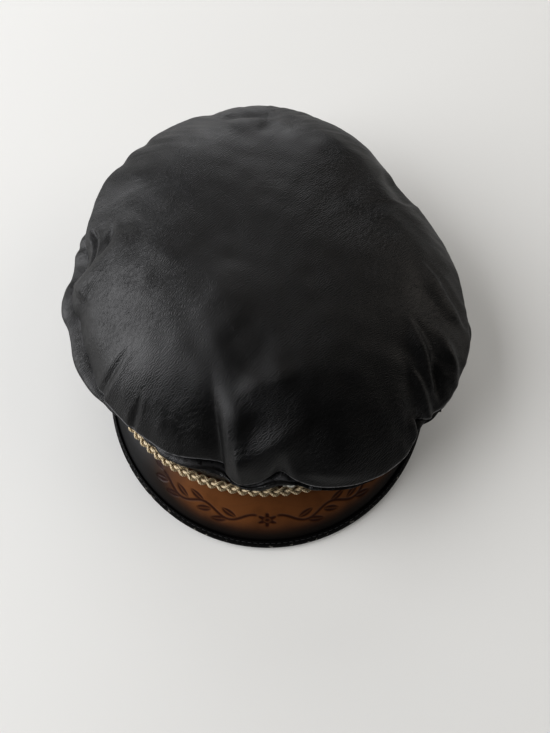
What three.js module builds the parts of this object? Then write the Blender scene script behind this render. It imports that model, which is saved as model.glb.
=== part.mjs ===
// A soft black leather biker cap with a stiff peak and a plaited cord, lying on a flat surface.
// Millimetres, +Z up. The peak points along -Y, and +X is the wearer's left.

import * as THREE from "three";

// The head band: the half-axes of its outer face in plan, from the middle of the head opening.
const BAND_HALF_WIDTH = 97;
const BAND_FRONT = 92;
const BAND_BACK = 98;
const BAND_HEIGHT = 22;
const BAND_WALL = 2.2;

// The cap lies tilted: the band's lower edge climbs towards the peak, by this much for each millimetre.
// Behind the rest line the soft edge is pressed flat on the surface.
const BAND_CLIMB = 0.144;
const REST_LINE_Y = 78;

// The crown: a round top panel sewn to a side wall along the rim seam, overhanging the band at the back.
const LEATHER = 1.6;
const SEAM_GAP = 0.3;
const SEAM_WIDTH = 2.2;
const CROWN_CENTRE_Y = 20;
const RIM_RADIUS = 118;
const RIM_HEIGHT = 61.5;
const RIM_BACK_LIFT = 6.5;
const DOME_HEIGHT = 35;
const SHOULDER_POWER = 3.6;

// Where the slack rim seam swells out or is drawn in, by direction from the front in degrees (+ to the left
// of the wearer). "inward" says how fast the change dies away towards the middle of the top panel.
const RIM_LOBES = [
  { place: "back overhang", at: -176, spread: 38, out: 4, lift: 2, inward: 2 },
  { place: "left back sag", at: 124, spread: 30, out: -14, lift: -5, inward: 2 },
  { place: "left front droop", at: 43, spread: 28, out: 9, lift: -5, inward: 2 },
  { place: "left temple swell", at: 68, spread: 13, out: 3, lift: 0, inward: 4 },
  { place: "left front notch", at: 53, spread: 5, out: -3, lift: 3, inward: 8 },
  { place: "front draw-in", at: -4, spread: 32, out: -5, lift: 0, inward: 3 },
  { place: "front notch", at: 4, spread: 6, out: -5, lift: 5, inward: 8 },
  { place: "front swell", at: -7, spread: 6, out: 2, lift: -3, inward: 6 },
  { place: "front pinch", at: -19, spread: 9, out: -5, lift: 3, inward: 5 },
  { place: "right front tuck", at: -44, spread: 16, out: -3.5, lift: 0, inward: 3 },
  { place: "right temple swell", at: -78, spread: 10, out: 3, lift: -1, inward: 6 },
  { place: "right side gap", at: -101, spread: 11, out: -5, lift: -3, inward: 4 },
  { place: "right back swell", at: -135, spread: 30, out: 4, lift: 0, inward: 2 },
];

// The main folds of the top panel, each along a line in plan. A positive depth is a valley, a negative one
// a ridge. Near the rim seam they fade out.
const TOP_FOLDS = [
  { place: "front pinch", from: [-26, -42], to: [-26, -96], depth: 6, width: 8 },
  { place: "front hollow", from: [-42, -50], to: [-38, -82], depth: 7, width: 15 },
  { place: "front swell", from: [-13, -56], to: [-12, -88], depth: -4, width: 10 },
  { place: "front notch", from: [6, -90], to: [12, -58], depth: 4, width: 9 },
  { place: "middle ridge", from: [-24, 30], to: [-24, -38], depth: -2.5, width: 22 },
  { place: "right front crease", from: [-78, -25], to: [-97, -44], depth: 4, width: 7 },
  { place: "right front dip", from: [-66, -46], to: [-76, -64], depth: 3, width: 10 },
  { place: "right side dimple", from: [-95, 54], to: [-96, 34], depth: 4, width: 7 },
  { place: "right side ridge", from: [-78, 46], to: [-108, 12], depth: -3, width: 9 },
  { place: "right side valley", from: [-98, 9], to: [-114, -4], depth: 4, width: 7 },
  { place: "left side ridge", from: [84, 28], to: [112, -8], depth: -3.5, width: 9 },
  { place: "left side valley", from: [100, 14], to: [117, -8], depth: 3, width: 7 },
  { place: "left front ridge", from: [76, -8], to: [94, -40], depth: -3, width: 9 },
  { place: "left front valley", from: [86, -26], to: [100, -50], depth: 4, width: 8 },
  { place: "left back dip", from: [74, 92], to: [84, 70], depth: 4, width: 12 },
  { place: "back valley", from: [-30, 125], to: [6, 124], depth: 3.5, width: 9 },
  { place: "back ridge", from: [-26, 112], to: [4, 112], depth: -2, width: 9 },
];
const FOLD_FADE_START = 0.9;

// The side wall hangs slack: it bellies out below the rim seam and gathers where it meets the band.
const SIDE_BELLY = 5;
const SIDE_BELLIES = [
  { place: "right side", at: -92, spread: 30, out: 7 },
  { place: "left side", at: 84, spread: 40, out: 4 },
  { place: "back", at: 180, spread: 60, out: 9 },
];
const GATHERS = 13;
const GATHER_DEPTH = 1.8;
const GATHER_DRIFT = 0.9;
const DRIFT_WAVES = 3;

// The peak: a stiff curved visor let into the foot of the band, its edge an arc round a point behind it.
const PEAK_ROOT_SWEEP = 76;
const PEAK_ROOT_LIFT = 3.8;
const PEAK_HALF_WIDTH = 99.5;
const PEAK_END_Y = -24;
const PEAK_REACH = 100.2;
const PEAK_FRONT_HEIGHT = 3.28;
const PEAK_END_HEIGHT = 13;
const PEAK_EDGE_POWER = 0.7;
const PEAK_CAMBER = 1.8;
const PEAK_THICKNESS = 2.6;
const PIECE_GAP = 0.3;

// The binding: a strip of leather folded over the peak's edge, covering it by this much on both faces.
const BINDING_COVER = 5;
const BINDING_END_COVER = 2;
const BINDING_TAPER = 8;
const BINDING_LEATHER = 0.9;
const BINDING_NOSE = 2.6;
const BINDING_LIP = 0.92;
const BINDING_CHEEK = 0.8;

// The plait: three cords woven flat, leaning in the corner between the band and the peak.
const STRAND_RADIUS = 1.25;
const STRANDS = 3;
const PLAIT_SWEEP = 84.6;
const PLAIT_PERIODS = 10;
const PLAIT_SWING = 3.4;
const PLAIT_RISE = 1.9;
const PLAIT_LEAN = 40;
const PLAIT_OFF_BAND = 4.7;
const PLAIT_OVER_ROOT = 2.7;

// The buttons that hold the ends of the plait, and the pin on the front of the band.
const BUTTON_AT = 89;
const BUTTON_RADIUS = 6.5;
const BUTTON_EDGE = 3;
const BUTTON_DOME = 2.2;
const PIN_AT = 8;
const PIN_RADIUS = 5.2;
const PIN_EDGE = 1.6;
const PIN_DOME = 1.8;
const PIN_OVER_FOOT = 16.4;

// How finely the curved pieces are divided.
const ROUND_STEPS = 72;
const TOP_RINGS = [0.16, 0.32, 0.46, 0.58, 0.68, 0.77, 0.85, 0.91, 0.96, 1];
const SIDE_ROWS = [0, 0.18, 0.36, 0.54, 0.72, 0.87, 1];
const PEAK_STEPS = 48;
const PEAK_ROWS = [0, 0.22, 0.44, 0.65, 0.83, 1];
const STEPS_PER_PERIOD = 6;
const FIRST_CROSSING = Math.PI / 6;
const TURNED_SIDES = 20;
const STUD_RISES = [0.45, 0.8, 1];
const SMALL_STEP = 1e-3;

const { degToRad, radToDeg, lerp, smoothstep, euclideanModulo } = THREE.MathUtils;

// A smooth swelling: 1 in its middle, close to 0 at twice its spread.
function swelling(distance, spread) {
  return Math.exp(-((distance / spread) ** 2));
}

// The turn from one direction to another in degrees, the short way round.
function turnBetween(one, other) {
  return euclideanModulo(one - other + 180, 360) - 180;
}

// How far a plan point lies from the line between two others.
function distanceToLine(point, from, to) {
  const line = new THREE.Line3(new THREE.Vector3(...from, 0), new THREE.Vector3(...to, 0));
  const nearest = line.closestPointToPoint(point, true, new THREE.Vector3());
  return nearest.distanceTo(point);
}

// The outward direction of a surface of two parameters, from small steps along both.
function surfaceNormal(surface, u, v) {
  const along = surface(u + SMALL_STEP, v).sub(surface(u - SMALL_STEP, v));
  const across = surface(u, v + SMALL_STEP).sub(surface(u, v - SMALL_STEP));
  return along.cross(across).normalize();
}

// A plan point at a distance outside the band's outer face, with the face's outward direction there.
function bandPlan(angle, out) {
  const length = Math.cos(angle) > 0 ? BAND_FRONT : BAND_BACK;
  const face = new THREE.Vector3(BAND_HALF_WIDTH * Math.sin(angle), -length * Math.cos(angle), 0);
  const outward = new THREE.Vector3(
    Math.sin(angle) / BAND_HALF_WIDTH,
    -Math.cos(angle) / length,
    0,
  ).normalize();
  return { face, outward, point: face.clone().addScaledVector(outward, out) };
}

// The band's lower edge, pressed flat at the back, and its upper edge, by how far back they are.
function bandFoot(y) {
  return Math.max(0, BAND_CLIMB * (REST_LINE_Y - y));
}

function bandTop(y) {
  return BAND_CLIMB * (REST_LINE_Y - y) + BAND_HEIGHT;
}

// How far the folds press a plan point of the top panel down.
function foldDepth(point) {
  let depth = 0;
  for (const fold of TOP_FOLDS) {
    depth += fold.depth * swelling(distanceToLine(point, fold.from, fold.to), fold.width);
  }
  return depth;
}

// The outer face of the top panel, by reach (0 in the middle, 1 at the rim seam) and direction.
function crownTop(reach, angle) {
  let radius = RIM_RADIUS;
  let lift = -RIM_BACK_LIFT * Math.cos(angle) * reach ** 2;
  for (const lobe of RIM_LOBES) {
    const share = swelling(turnBetween(radToDeg(angle), lobe.at), lobe.spread) * reach ** lobe.inward;
    radius += lobe.out * share;
    lift += lobe.lift * share;
  }
  const across = new THREE.Vector3(
    radius * reach * Math.sin(angle),
    CROWN_CENTRE_Y - radius * reach * Math.cos(angle),
    0,
  );
  const dome = DOME_HEIGHT * (1 - reach ** SHOULDER_POWER);
  const creases = foldDepth(across) * (1 - smoothstep(reach, FOLD_FADE_START, 1));
  return across.setZ(RIM_HEIGHT + lift + dome - creases);
}

// The outer face of the side wall, from the rim seam (0) down to the top of the band (1).
function crownSide(fall, angle) {
  const rim = crownTop(1, angle);
  rim.z -= SEAM_GAP;
  const { face, outward } = bandPlan(angle, 0);
  const foot = face.clone().setZ(bandTop(face.y) + SEAM_GAP);
  const direction = radToDeg(angle);
  let belly = SIDE_BELLY;
  for (const row of SIDE_BELLIES) {
    belly += row.out * swelling(turnBetween(direction, row.at), row.spread);
  }
  const slack = Math.sin(Math.PI * fall);
  const gather = Math.sin(GATHERS * angle + GATHER_DRIFT * Math.sin(DRIFT_WAVES * angle)) * GATHER_DEPTH;
  return rim.lerp(foot, fall).addScaledVector(outward, slack * (belly + gather * fall));
}

// The upper face of the peak, from its root at the band (0) to its outer edge (1), and from end to end
// (-1 to 1).
function peakTop(out, along) {
  const { point } = bandPlan(degToRad(along * PEAK_ROOT_SWEEP), PIECE_GAP);
  const root = point.clone().setZ(bandFoot(point.y) + PEAK_ROOT_LIFT);
  const turn = along * Math.PI / 2;
  const edge = new THREE.Vector3(
    PEAK_HALF_WIDTH * Math.sin(turn),
    PEAK_END_Y - PEAK_REACH * Math.cos(turn),
    lerp(PEAK_END_HEIGHT, PEAK_FRONT_HEIGHT, Math.max(0, Math.cos(turn)) ** PEAK_EDGE_POWER),
  );
  const face = root.lerp(edge, out);
  face.z += PEAK_CAMBER * Math.sin(Math.PI * out);
  return face;
}

// A closed body through a row of sections, each a loop of points that runs out along one face and back along
// the other. The row either closes on itself or has its two ends filled.
function bodyThroughSections(sections, closed) {
  const count = sections[0].length;
  const points = sections.flat();
  const faces = [];
  const quad = (a, b, c, d) => faces.push(a, b, c, a, c, d);
  const spans = closed ? sections.length : sections.length - 1;
  for (let i = 0; i < spans; i += 1) {
    const here = i * count;
    const next = ((i + 1) % sections.length) * count;
    for (let j = 0; j < count; j += 1) {
      const k = (j + 1) % count;
      quad(here + j, here + k, next + k, next + j);
    }
  }
  if (!closed) {
    const last = (sections.length - 1) * count;
    for (let j = 0; j < count / 2 - 1; j += 1) {
      const far = count - 1 - j;
      quad(j, far, far - 1, j + 1);
      quad(last + j, last + j + 1, last + far - 1, last + far);
    }
  }
  return facingOut(points, faces);
}

// A geometry whose triangles face out: where the enclosed volume comes out negative, all are turned round.
function facingOut(points, faces) {
  let volume = 0;
  for (let i = 0; i < faces.length; i += 3) {
    const [a, b, c] = [points[faces[i]], points[faces[i + 1]], points[faces[i + 2]]];
    volume += a.dot(b.clone().cross(c));
  }
  const index = volume < 0 ? faces.reverse() : faces;
  const geometry = new THREE.BufferGeometry().setFromPoints(points);
  geometry.setIndex(index);
  geometry.computeVertexNormals();
  return geometry;
}

function roundAngles() {
  return Array.from({ length: ROUND_STEPS }, (_, i) => (2 * Math.PI * i) / ROUND_STEPS);
}

// The band: an upright oval wall, tilted with the cap.
function bandGeometry() {
  const sections = roundAngles().map((angle) => {
    const { face, outward } = bandPlan(angle, 0);
    const inner = face.clone().addScaledVector(outward, -BAND_WALL);
    const foot = bandFoot(face.y);
    const top = bandTop(face.y);
    return [
      face.clone().setZ(foot),
      face.clone().setZ(top),
      inner.clone().setZ(top),
      inner.clone().setZ(foot),
    ];
  });
  return bodyThroughSections(sections, true);
}

// The top panel: a domed leather skin, level across its seam so that it sits on the side wall.
function crownTopGeometry() {
  const angles = roundAngles();
  const middle = crownTop(0, 0);
  const points = [middle, middle.clone().setZ(middle.z - LEATHER)];
  const faces = [];
  const at = (ring, turn, side) => 2 + 2 * (ring * ROUND_STEPS + (turn % ROUND_STEPS)) + side;
  TOP_RINGS.forEach((reach) => {
    for (const angle of angles) {
      const outer = crownTop(reach, angle);
      const inner = outer.clone();
      if (reach === 1) {
        inner.add(new THREE.Vector3(-Math.sin(angle), Math.cos(angle), 0).multiplyScalar(SEAM_WIDTH));
      } else {
        inner.addScaledVector(surfaceNormal(crownTop, reach, angle), -LEATHER);
      }
      points.push(outer, inner);
    }
  });
  const rim = TOP_RINGS.length - 1;
  for (let i = 0; i < ROUND_STEPS; i += 1) {
    faces.push(0, at(0, i, 0), at(0, i + 1, 0));
    faces.push(1, at(0, i + 1, 1), at(0, i, 1));
    for (let ring = 0; ring < rim; ring += 1) {
      const outer = [at(ring, i, 0), at(ring + 1, i, 0), at(ring + 1, i + 1, 0), at(ring, i + 1, 0)];
      const inner = [at(ring, i, 1), at(ring, i + 1, 1), at(ring + 1, i + 1, 1), at(ring + 1, i, 1)];
      for (const [a, b, c, d] of [outer, inner]) {
        faces.push(a, b, c, a, c, d);
      }
    }
    faces.push(at(rim, i, 0), at(rim, i, 1), at(rim, i + 1, 1));
    faces.push(at(rim, i, 0), at(rim, i + 1, 1), at(rim, i + 1, 0));
  }
  return facingOut(points, faces);
}

// The side wall: a slack leather ring between the rim seam and the band, level across both of its edges.
function crownSideGeometry() {
  const sections = roundAngles().map((angle) => {
    const outer = SIDE_ROWS.map((fall) => crownSide(fall, angle));
    const inner = SIDE_ROWS.map((fall, row) => {
      const skin = outer[row].clone();
      if (fall === 0) {
        return skin.add(new THREE.Vector3(-Math.sin(angle), Math.cos(angle), 0).multiplyScalar(SEAM_WIDTH));
      }
      if (fall === 1) {
        return skin.addScaledVector(bandPlan(angle, 0).outward, -BAND_WALL);
      }
      return skin.addScaledVector(surfaceNormal(crownSide, fall, angle), -LEATHER);
    });
    return [...outer, ...inner.reverse()];
  });
  return bodyThroughSections(sections, true);
}

function peakStations() {
  return Array.from({ length: PEAK_STEPS + 1 }, (_, i) => (2 * i) / PEAK_STEPS - 1);
}

// The peak: a stiff plate under its upper face, cut upright at its root and square at its edge.
function peakGeometry() {
  const sections = peakStations().map((along) => {
    const upper = PEAK_ROWS.map((out) => peakTop(out, along));
    const lower = PEAK_ROWS.map((out, row) => {
      const through = new THREE.Vector3(0, 0, 1).lerp(surfaceNormal(peakTop, out, along), out).normalize();
      return upper[row].clone().addScaledVector(through, -PEAK_THICKNESS);
    });
    return [...upper, ...lower.reverse()];
  });
  return bodyThroughSections(sections, false);
}

// The binding: a fold of leather over the peak's edge, open towards the band like a long clip.
function bindingGeometry() {
  const slot = PEAK_THICKNESS / 2 + PIECE_GAP;
  const outside = slot + BINDING_LEATHER;
  const profile = (cover) => [
    { out: -cover, up: outside * BINDING_LIP },
    { out: -cover / 3, up: outside },
    { out: BINDING_NOSE / 2, up: outside * BINDING_CHEEK },
    { out: BINDING_NOSE, up: 0 },
    { out: BINDING_NOSE / 2, up: -outside * BINDING_CHEEK },
    { out: -cover / 3, up: -outside },
    { out: -cover, up: -outside * BINDING_LIP },
    { out: -cover, up: -slot },
    { out: -cover / 3, up: -slot },
    { out: PIECE_GAP, up: -slot },
    { out: PIECE_GAP, up: 0 },
    { out: PIECE_GAP, up: slot },
    { out: -cover / 3, up: slot },
    { out: -cover, up: slot },
  ];
  const sections = peakStations().map((along) => {
    const cover = lerp(BINDING_COVER, BINDING_END_COVER, along ** BINDING_TAPER);
    const up = surfaceNormal(peakTop, 1, along);
    const edge = peakTop(1, along);
    const inner = peakTop(PEAK_ROWS.at(-2), along);
    const outward = edge.clone().sub(inner).normalize();
    const middle = edge.addScaledVector(up, -PEAK_THICKNESS / 2);
    return profile(cover).map((row) => (
      middle.clone().addScaledVector(outward, row.out).addScaledVector(up, row.up)
    ));
  });
  return bodyThroughSections(sections, false);
}

// The way of one cord of the plait: it swings across the plait and over and under the other two.
class PlaitCurve extends THREE.Curve {
  constructor(strand) {
    super();
    this.start = (2 * Math.PI * strand) / STRANDS + FIRST_CROSSING;
  }

  // Steps are even along the plait, so that each crossing has a section of both cords.
  getUtoTmapping(u) {
    return u;
  }

  getPoint(t, target = new THREE.Vector3()) {
    const { point, outward } = bandPlan(degToRad(lerp(-PLAIT_SWEEP, PLAIT_SWEEP, t)), PLAIT_OFF_BAND);
    const lean = degToRad(PLAIT_LEAN);
    const phase = 2 * Math.PI * PLAIT_PERIODS * t + this.start;
    const swing = PLAIT_SWING * Math.sin(phase);
    const rise = PLAIT_RISE * Math.sin(2 * phase);
    const up = Math.cos(lean) * swing + Math.sin(lean) * rise;
    const out = -Math.sin(lean) * swing + Math.cos(lean) * rise;
    const height = bandFoot(point.y) + PEAK_ROOT_LIFT + PLAIT_OVER_ROOT;
    return target.copy(point).addScaledVector(outward, out).setZ(height + up);
  }
}

function strandGeometry(strand) {
  const section = new THREE.Shape().absarc(0, 0, STRAND_RADIUS, 0, 2 * Math.PI);
  return new THREE.ExtrudeGeometry(section, {
    steps: PLAIT_PERIODS * STEPS_PER_PERIOD,
    curveSegments: 3,
    bevelEnabled: false,
    extrudePath: new PlaitCurve(strand),
  });
}

// A low round stud: a short drum with a domed face, turned about its own axis.
function studGeometry(radius, edge, dome) {
  const profile = [new THREE.Vector2(0, 0), new THREE.Vector2(radius, 0), new THREE.Vector2(radius, edge)];
  for (const rise of STUD_RISES) {
    profile.push(new THREE.Vector2(radius * Math.sqrt(1 - rise ** 2), edge + dome * rise));
  }
  return new THREE.LatheGeometry(profile, TURNED_SIDES);
}

// A stud stood on the band's outer face, facing out.
function placeStud(mesh, angleDegrees, height) {
  const { point, outward } = bandPlan(degToRad(angleDegrees), PIECE_GAP);
  mesh.position.copy(point).setZ(bandFoot(point.y) + height);
  mesh.quaternion.setFromUnitVectors(new THREE.Vector3(0, 1, 0), outward);
  return mesh;
}

const blackLeather = { color: "#262627", roughness: 0.55, metalness: 0 };
const peakLeather = { color: "#4a2813", roughness: 0.45, metalness: 0 };
const creamCord = { color: "#c9b58c", roughness: 0.5, metalness: 0 };
const silverMetal = { color: "#c4c4c0", roughness: 0.3, metalness: 1 };

function namedMesh(name, geometry, finish) {
  const mesh = new THREE.Mesh(geometry, new THREE.MeshStandardMaterial(finish));
  mesh.name = name;
  return mesh;
}

const cap = new THREE.Group();
cap.add(namedMesh("crown_top", crownTopGeometry(), blackLeather));
cap.add(namedMesh("crown_side", crownSideGeometry(), blackLeather));
cap.add(namedMesh("head_band", bandGeometry(), blackLeather));
cap.add(namedMesh("peak", peakGeometry(), peakLeather));
cap.add(namedMesh("peak_binding", bindingGeometry(), blackLeather));
for (let strand = 0; strand < STRANDS; strand += 1) {
  cap.add(namedMesh(`braid_strand_${strand + 1}`, strandGeometry(strand), creamCord));
}
const buttonHeight = PEAK_ROOT_LIFT + PLAIT_OVER_ROOT;
for (const [side, sign] of [["left", 1], ["right", -1]]) {
  const shape = studGeometry(BUTTON_RADIUS, BUTTON_EDGE, BUTTON_DOME);
  cap.add(placeStud(namedMesh(`side_button_${side}`, shape, blackLeather), sign * BUTTON_AT, buttonHeight));
}
const pin = namedMesh("front_pin", studGeometry(PIN_RADIUS, PIN_EDGE, PIN_DOME), silverMetal);
cap.add(placeStud(pin, PIN_AT, PIN_OVER_FOOT));

// The part's origin is on the surface, under the middle of the cap's box.
const box = new THREE.Box3().setFromObject(cap, true);
const centre = box.getCenter(new THREE.Vector3());
cap.position.set(-centre.x, -centre.y, -box.min.z);

const part = new THREE.Group();
part.add(cap);

export default part;
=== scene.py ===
# %% [markdown]
# # A soft leather biker cap, lying on a table
# The cap has a rumpled round crown of thin black leather, sewn along its rim to a slack side wall. The
# wall is sewn to an upright head band, and a stiff dyed peak with a bound edge stands out of the band's
# foot. A plait of three cream cords lies in the corner between the band and the peak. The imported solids
# give every place and size, so the first step loads them and keeps their box.

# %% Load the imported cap
import math
from collections import namedtuple

import bpy
import numpy as np
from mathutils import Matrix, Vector


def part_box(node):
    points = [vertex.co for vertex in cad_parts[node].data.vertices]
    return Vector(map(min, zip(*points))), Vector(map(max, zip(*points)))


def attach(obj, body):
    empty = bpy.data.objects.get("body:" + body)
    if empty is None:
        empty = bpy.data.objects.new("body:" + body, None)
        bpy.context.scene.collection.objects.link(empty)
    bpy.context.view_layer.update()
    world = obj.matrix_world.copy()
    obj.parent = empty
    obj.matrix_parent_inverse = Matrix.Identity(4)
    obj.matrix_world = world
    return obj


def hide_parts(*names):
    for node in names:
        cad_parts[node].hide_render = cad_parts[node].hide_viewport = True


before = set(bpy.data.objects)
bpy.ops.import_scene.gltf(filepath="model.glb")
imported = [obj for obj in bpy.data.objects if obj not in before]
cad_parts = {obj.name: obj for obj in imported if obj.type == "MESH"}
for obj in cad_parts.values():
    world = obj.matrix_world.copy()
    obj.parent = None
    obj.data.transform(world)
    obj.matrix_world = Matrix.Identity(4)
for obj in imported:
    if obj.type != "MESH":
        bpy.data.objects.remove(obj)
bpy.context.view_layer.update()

print("solids:", sorted(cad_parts))

# %% [markdown]
# ## Measures
# Shapes are worked out in millimetres from a point under the middle of the head opening, with the peak
# towards -Y. Working from a maker's own datum keeps the formulas short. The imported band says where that
# datum lies in the scene, so one function carries finished points over to metres.

# %% The datum under the head opening
MM = 0.001
BAND_HALF_WIDTH = 97.0
BAND_FRONT = 92.0
BAND_BACK = 98.0

band_low, band_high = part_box("head_band")
datum = np.array([(band_low.x + band_high.x) / 2, band_low.y + BAND_FRONT * MM, 0.0])


def in_scene(points_mm):
    """Points in millimetres from the datum, as places in the scene in metres."""
    return np.asarray(points_mm) * MM + datum


print("datum in mm:", np.round(datum / MM, 2))

# %% [markdown]
# ## Helpers for meshes
# Every leather piece is a wall: an outer face, an inner face and the edges that join them. Solidify could
# give the thickness, but a wall built from two grids lets the inner face follow the seams, and it is
# closed from the start. A grid is an array of rows by columns of points, which NumPy shapes all at once.


# %% Walls from two grids
def unit(vectors):
    """Vectors of length one."""
    return vectors / np.maximum(np.linalg.norm(vectors, axis=-1, keepdims=True), 1e-12)


def grid_normals(points, ring):
    """Directions square to a grid; a ring joins its last column to its first."""
    if ring:
        along = np.roll(points, -1, 1) - np.roll(points, 1, 1)
    else:
        along = np.gradient(points, axis=1)
    return unit(np.cross(np.gradient(points, axis=0), along))


def wall_faces(rows, columns, ring, pole):
    """Faces of a closed wall: outer grid, inner grid, their edges and, for a pole, the middle of both."""
    size = rows * columns
    index = np.arange(size).reshape(rows, columns)
    turned = np.concatenate([index, index[:, :1]], 1) if ring else index
    here, right = turned[:-1, :-1], turned[:-1, 1:]
    below, corner = turned[1:, :-1], turned[1:, 1:]
    outer = np.stack([here, below, corner, right], -1).reshape(-1, 4)
    faces = [outer, outer[:, ::-1] + size]
    last = turned[-1]
    faces.append(np.stack([last[:-1], last[:-1] + size, last[1:] + size, last[1:]], -1))
    first = turned[0]
    if not pole:
        faces.append(np.stack([first[1:], first[1:] + size, first[:-1] + size, first[:-1]], -1))
    if not ring:
        left, end = index[:, 0], index[:, -1]
        faces.append(np.stack([left[:-1], left[:-1] + size, left[1:] + size, left[1:]], -1))
        faces.append(np.stack([end[1:], end[1:] + size, end[:-1] + size, end[:-1]], -1))
    faces = np.concatenate(faces).tolist()
    if pole:
        middle = 2 * size
        faces += [[middle, a, b] for a, b in zip(first[:-1].tolist(), first[1:].tolist())]
        faces += [[middle + 1, b + size, a + size] for a, b in zip(first[:-1].tolist(), first[1:].tolist())]
    return faces


print("faces of a ring of 3 by 8 points:", len(wall_faces(3, 8, ring=True, pole=False)))

# %% [markdown]
# A finished mesh becomes an object of the scene. Some finishes shade a piece by a number at each vertex,
# such as the distance from an edge, so a piece can carry those.


# %% Pieces in the scene
def link_piece(name, mesh, material):
    """An object of a finished mesh, smooth and in the scene."""
    mesh.validate()
    mesh.shade_smooth()
    mesh.materials.append(material)
    piece = bpy.data.objects.new(name, mesh)
    bpy.context.scene.collection.objects.link(piece)
    return piece


def leather_wall(name, outer, inner, material, ring=True, pole=False):
    """A closed wall between two grids of points in millimetres."""
    points = np.concatenate([outer.reshape(-1, 3), inner.reshape(-1, 3)])
    if pole:
        points = np.concatenate([points, [outer[0].mean(0), inner[0].mean(0)]])
    mesh = bpy.data.meshes.new(name)
    mesh.from_pydata(in_scene(points).tolist(), [], wall_faces(*outer.shape[:2], ring, pole))
    piece = link_piece(name, mesh, material)
    print(name, "faces:", len(mesh.polygons))
    return piece


def add_measure(piece, name, values):
    """Stores a number for each vertex, and 0 on a wall's inner face, whose vertices come last."""
    numbers = np.zeros(len(piece.data.vertices), np.float32)
    numbers[:values.size] = values.ravel()
    piece.data.attributes.new(name, "FLOAT", "POINT").data.foreach_set("value", numbers)


def belongs(piece, slot, *nodes):
    """Makes a piece move with the cap and hides the solids that it stands for; the slot is not used."""
    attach(piece, "root")
    if nodes:
        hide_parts(*nodes)
    return piece


# %% [markdown]
# ## Helpers for soft shapes
# Soft leather takes smooth swellings, tucks and ripples. A swelling is a bell curve, and a ripple is a
# sum of waves of about one length in all directions, with the phases drawn from a seeded generator, so
# that each run gives the same leather. Folding the ripple at zero gives puffed cells between narrow
# creases, as in a skin that has been pushed together.


# %% Swellings and ripples
def swelling(distance, spread):
    """1 in the middle, close to 0 at twice the spread."""
    return np.exp(-((distance / spread) ** 2))


def smooth_step(value, low, high):
    """0 up to low, 1 from high, with a soft change between them."""
    share = np.clip((value - low) / (high - low), 0, 1)
    return share * share * (3 - 2 * share)


def turn_between(one, other):
    """The turn from one direction to another in degrees, the short way round."""
    return (one - other + 180) % 360 - 180


def ripple(across, along, seed, waves=36):
    """A seeded random surface between about -1 and 1 with one wave for each unit of its two measures."""
    draw = np.random.default_rng(seed)
    total = 0
    for _ in range(waves):
        turn, phase = draw.uniform(0, 2 * math.pi, 2)
        pace = 2 * math.pi * draw.uniform(0.7, 1.3)
        total = total + np.sin(pace * (math.cos(turn) * across + math.sin(turn) * along) + phase)
    return total * math.sqrt(2 / waves) / 1.6


def creased(surface, softness=0.25):
    """Puffed cells between narrow creases, from a ripple folded at zero; about -0.5 to 0.8."""
    return np.sqrt(surface**2 + softness**2) - 0.5


print("a swelling at half, once and twice its spread:", np.round(swelling(np.array([0.5, 1, 2]), 1), 3))

# %% [markdown]
# ## Colours and shader nodes
# Colours are written as the hex values that a picture shows and turned to linear light once. A single
# function adds any node with its settings and inputs, so a material reads as a list of what feeds what.


# %% One function for colour, one for nodes
def linear(hex_colour):
    """An sRGB hex colour as linear red, green, blue and alpha."""
    parts = [int(hex_colour[i:i + 2], 16) / 255 for i in (1, 3, 5)]
    return (*[c / 12.92 if c <= 0.04045 else ((c + 0.055) / 1.055) ** 2.4 for c in parts], 1.0)


def add(tree, kind, inputs=(), **settings):
    """Adds a node with its settings; an input is a value, or a socket to link."""
    node = tree.nodes.new(kind)
    for name, value in settings.items():
        setattr(node, name, value)
    for key, value in dict(inputs).items():
        if isinstance(value, bpy.types.NodeSocket):
            tree.links.new(value, node.inputs[key])
        else:
            node.inputs[key].default_value = value
    return node


def new_finish(name, **shader_values):
    """A material with its tree and its shader, whose plain values are set on the sockets."""
    material = bpy.data.materials.new(name)
    material.use_nodes = True
    shader = material.node_tree.nodes["Principled BSDF"]
    for key, value in shader_values.items():
        shader.inputs[key.replace("_", " ")].default_value = value
    return material, material.node_tree, shader


def per_mm(size_mm):
    """The scale of a pattern on metre coordinates whose cells have this size in millimetres."""
    return 1 / (size_mm * MM)


print("middle grey in linear light:", round(linear("#808080")[0], 3))

# %% [markdown]
# ## Finish: black garment leather
# Garment leather is tanned soft, dyed through and given a thin satin top coat over its natural grain. The
# eye gets a near-black skin with a broad grey sheen, broken up by fine cells and by duller and shinier
# patches where it was handled. The grain is a bump: wavering ridges a little over a millimetre apart lean
# across the skin, pebble cells break them up, and some patches lie flatter than others. Noise could draw
# the ridges, but a wave texture keeps them even; its bands repeat every tenth of pi of its coordinates,
# which its scale allows for. An attribute says where a folded edge is painted grey: on the binding that is
# scuffing, and on the crown it is rubbing and also a painted highlight along the rim and the wall's edge.

# %% Garment leather
PEBBLE_MM = 0.95
PEBBLE_SHARE = 0.4
HATCH_MM = 1.15
HATCH_WAVER = 7.0
BAND_SPAN = math.pi / 10
GRAIN_LEAN = 42
GRAIN_DEPTH_MM = 0.1
FLAT_PATCH = 0.65
PATCH_MM = 26
SCUFF_MM = 3.0
SCUFF_EDGE = 0.12


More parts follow.
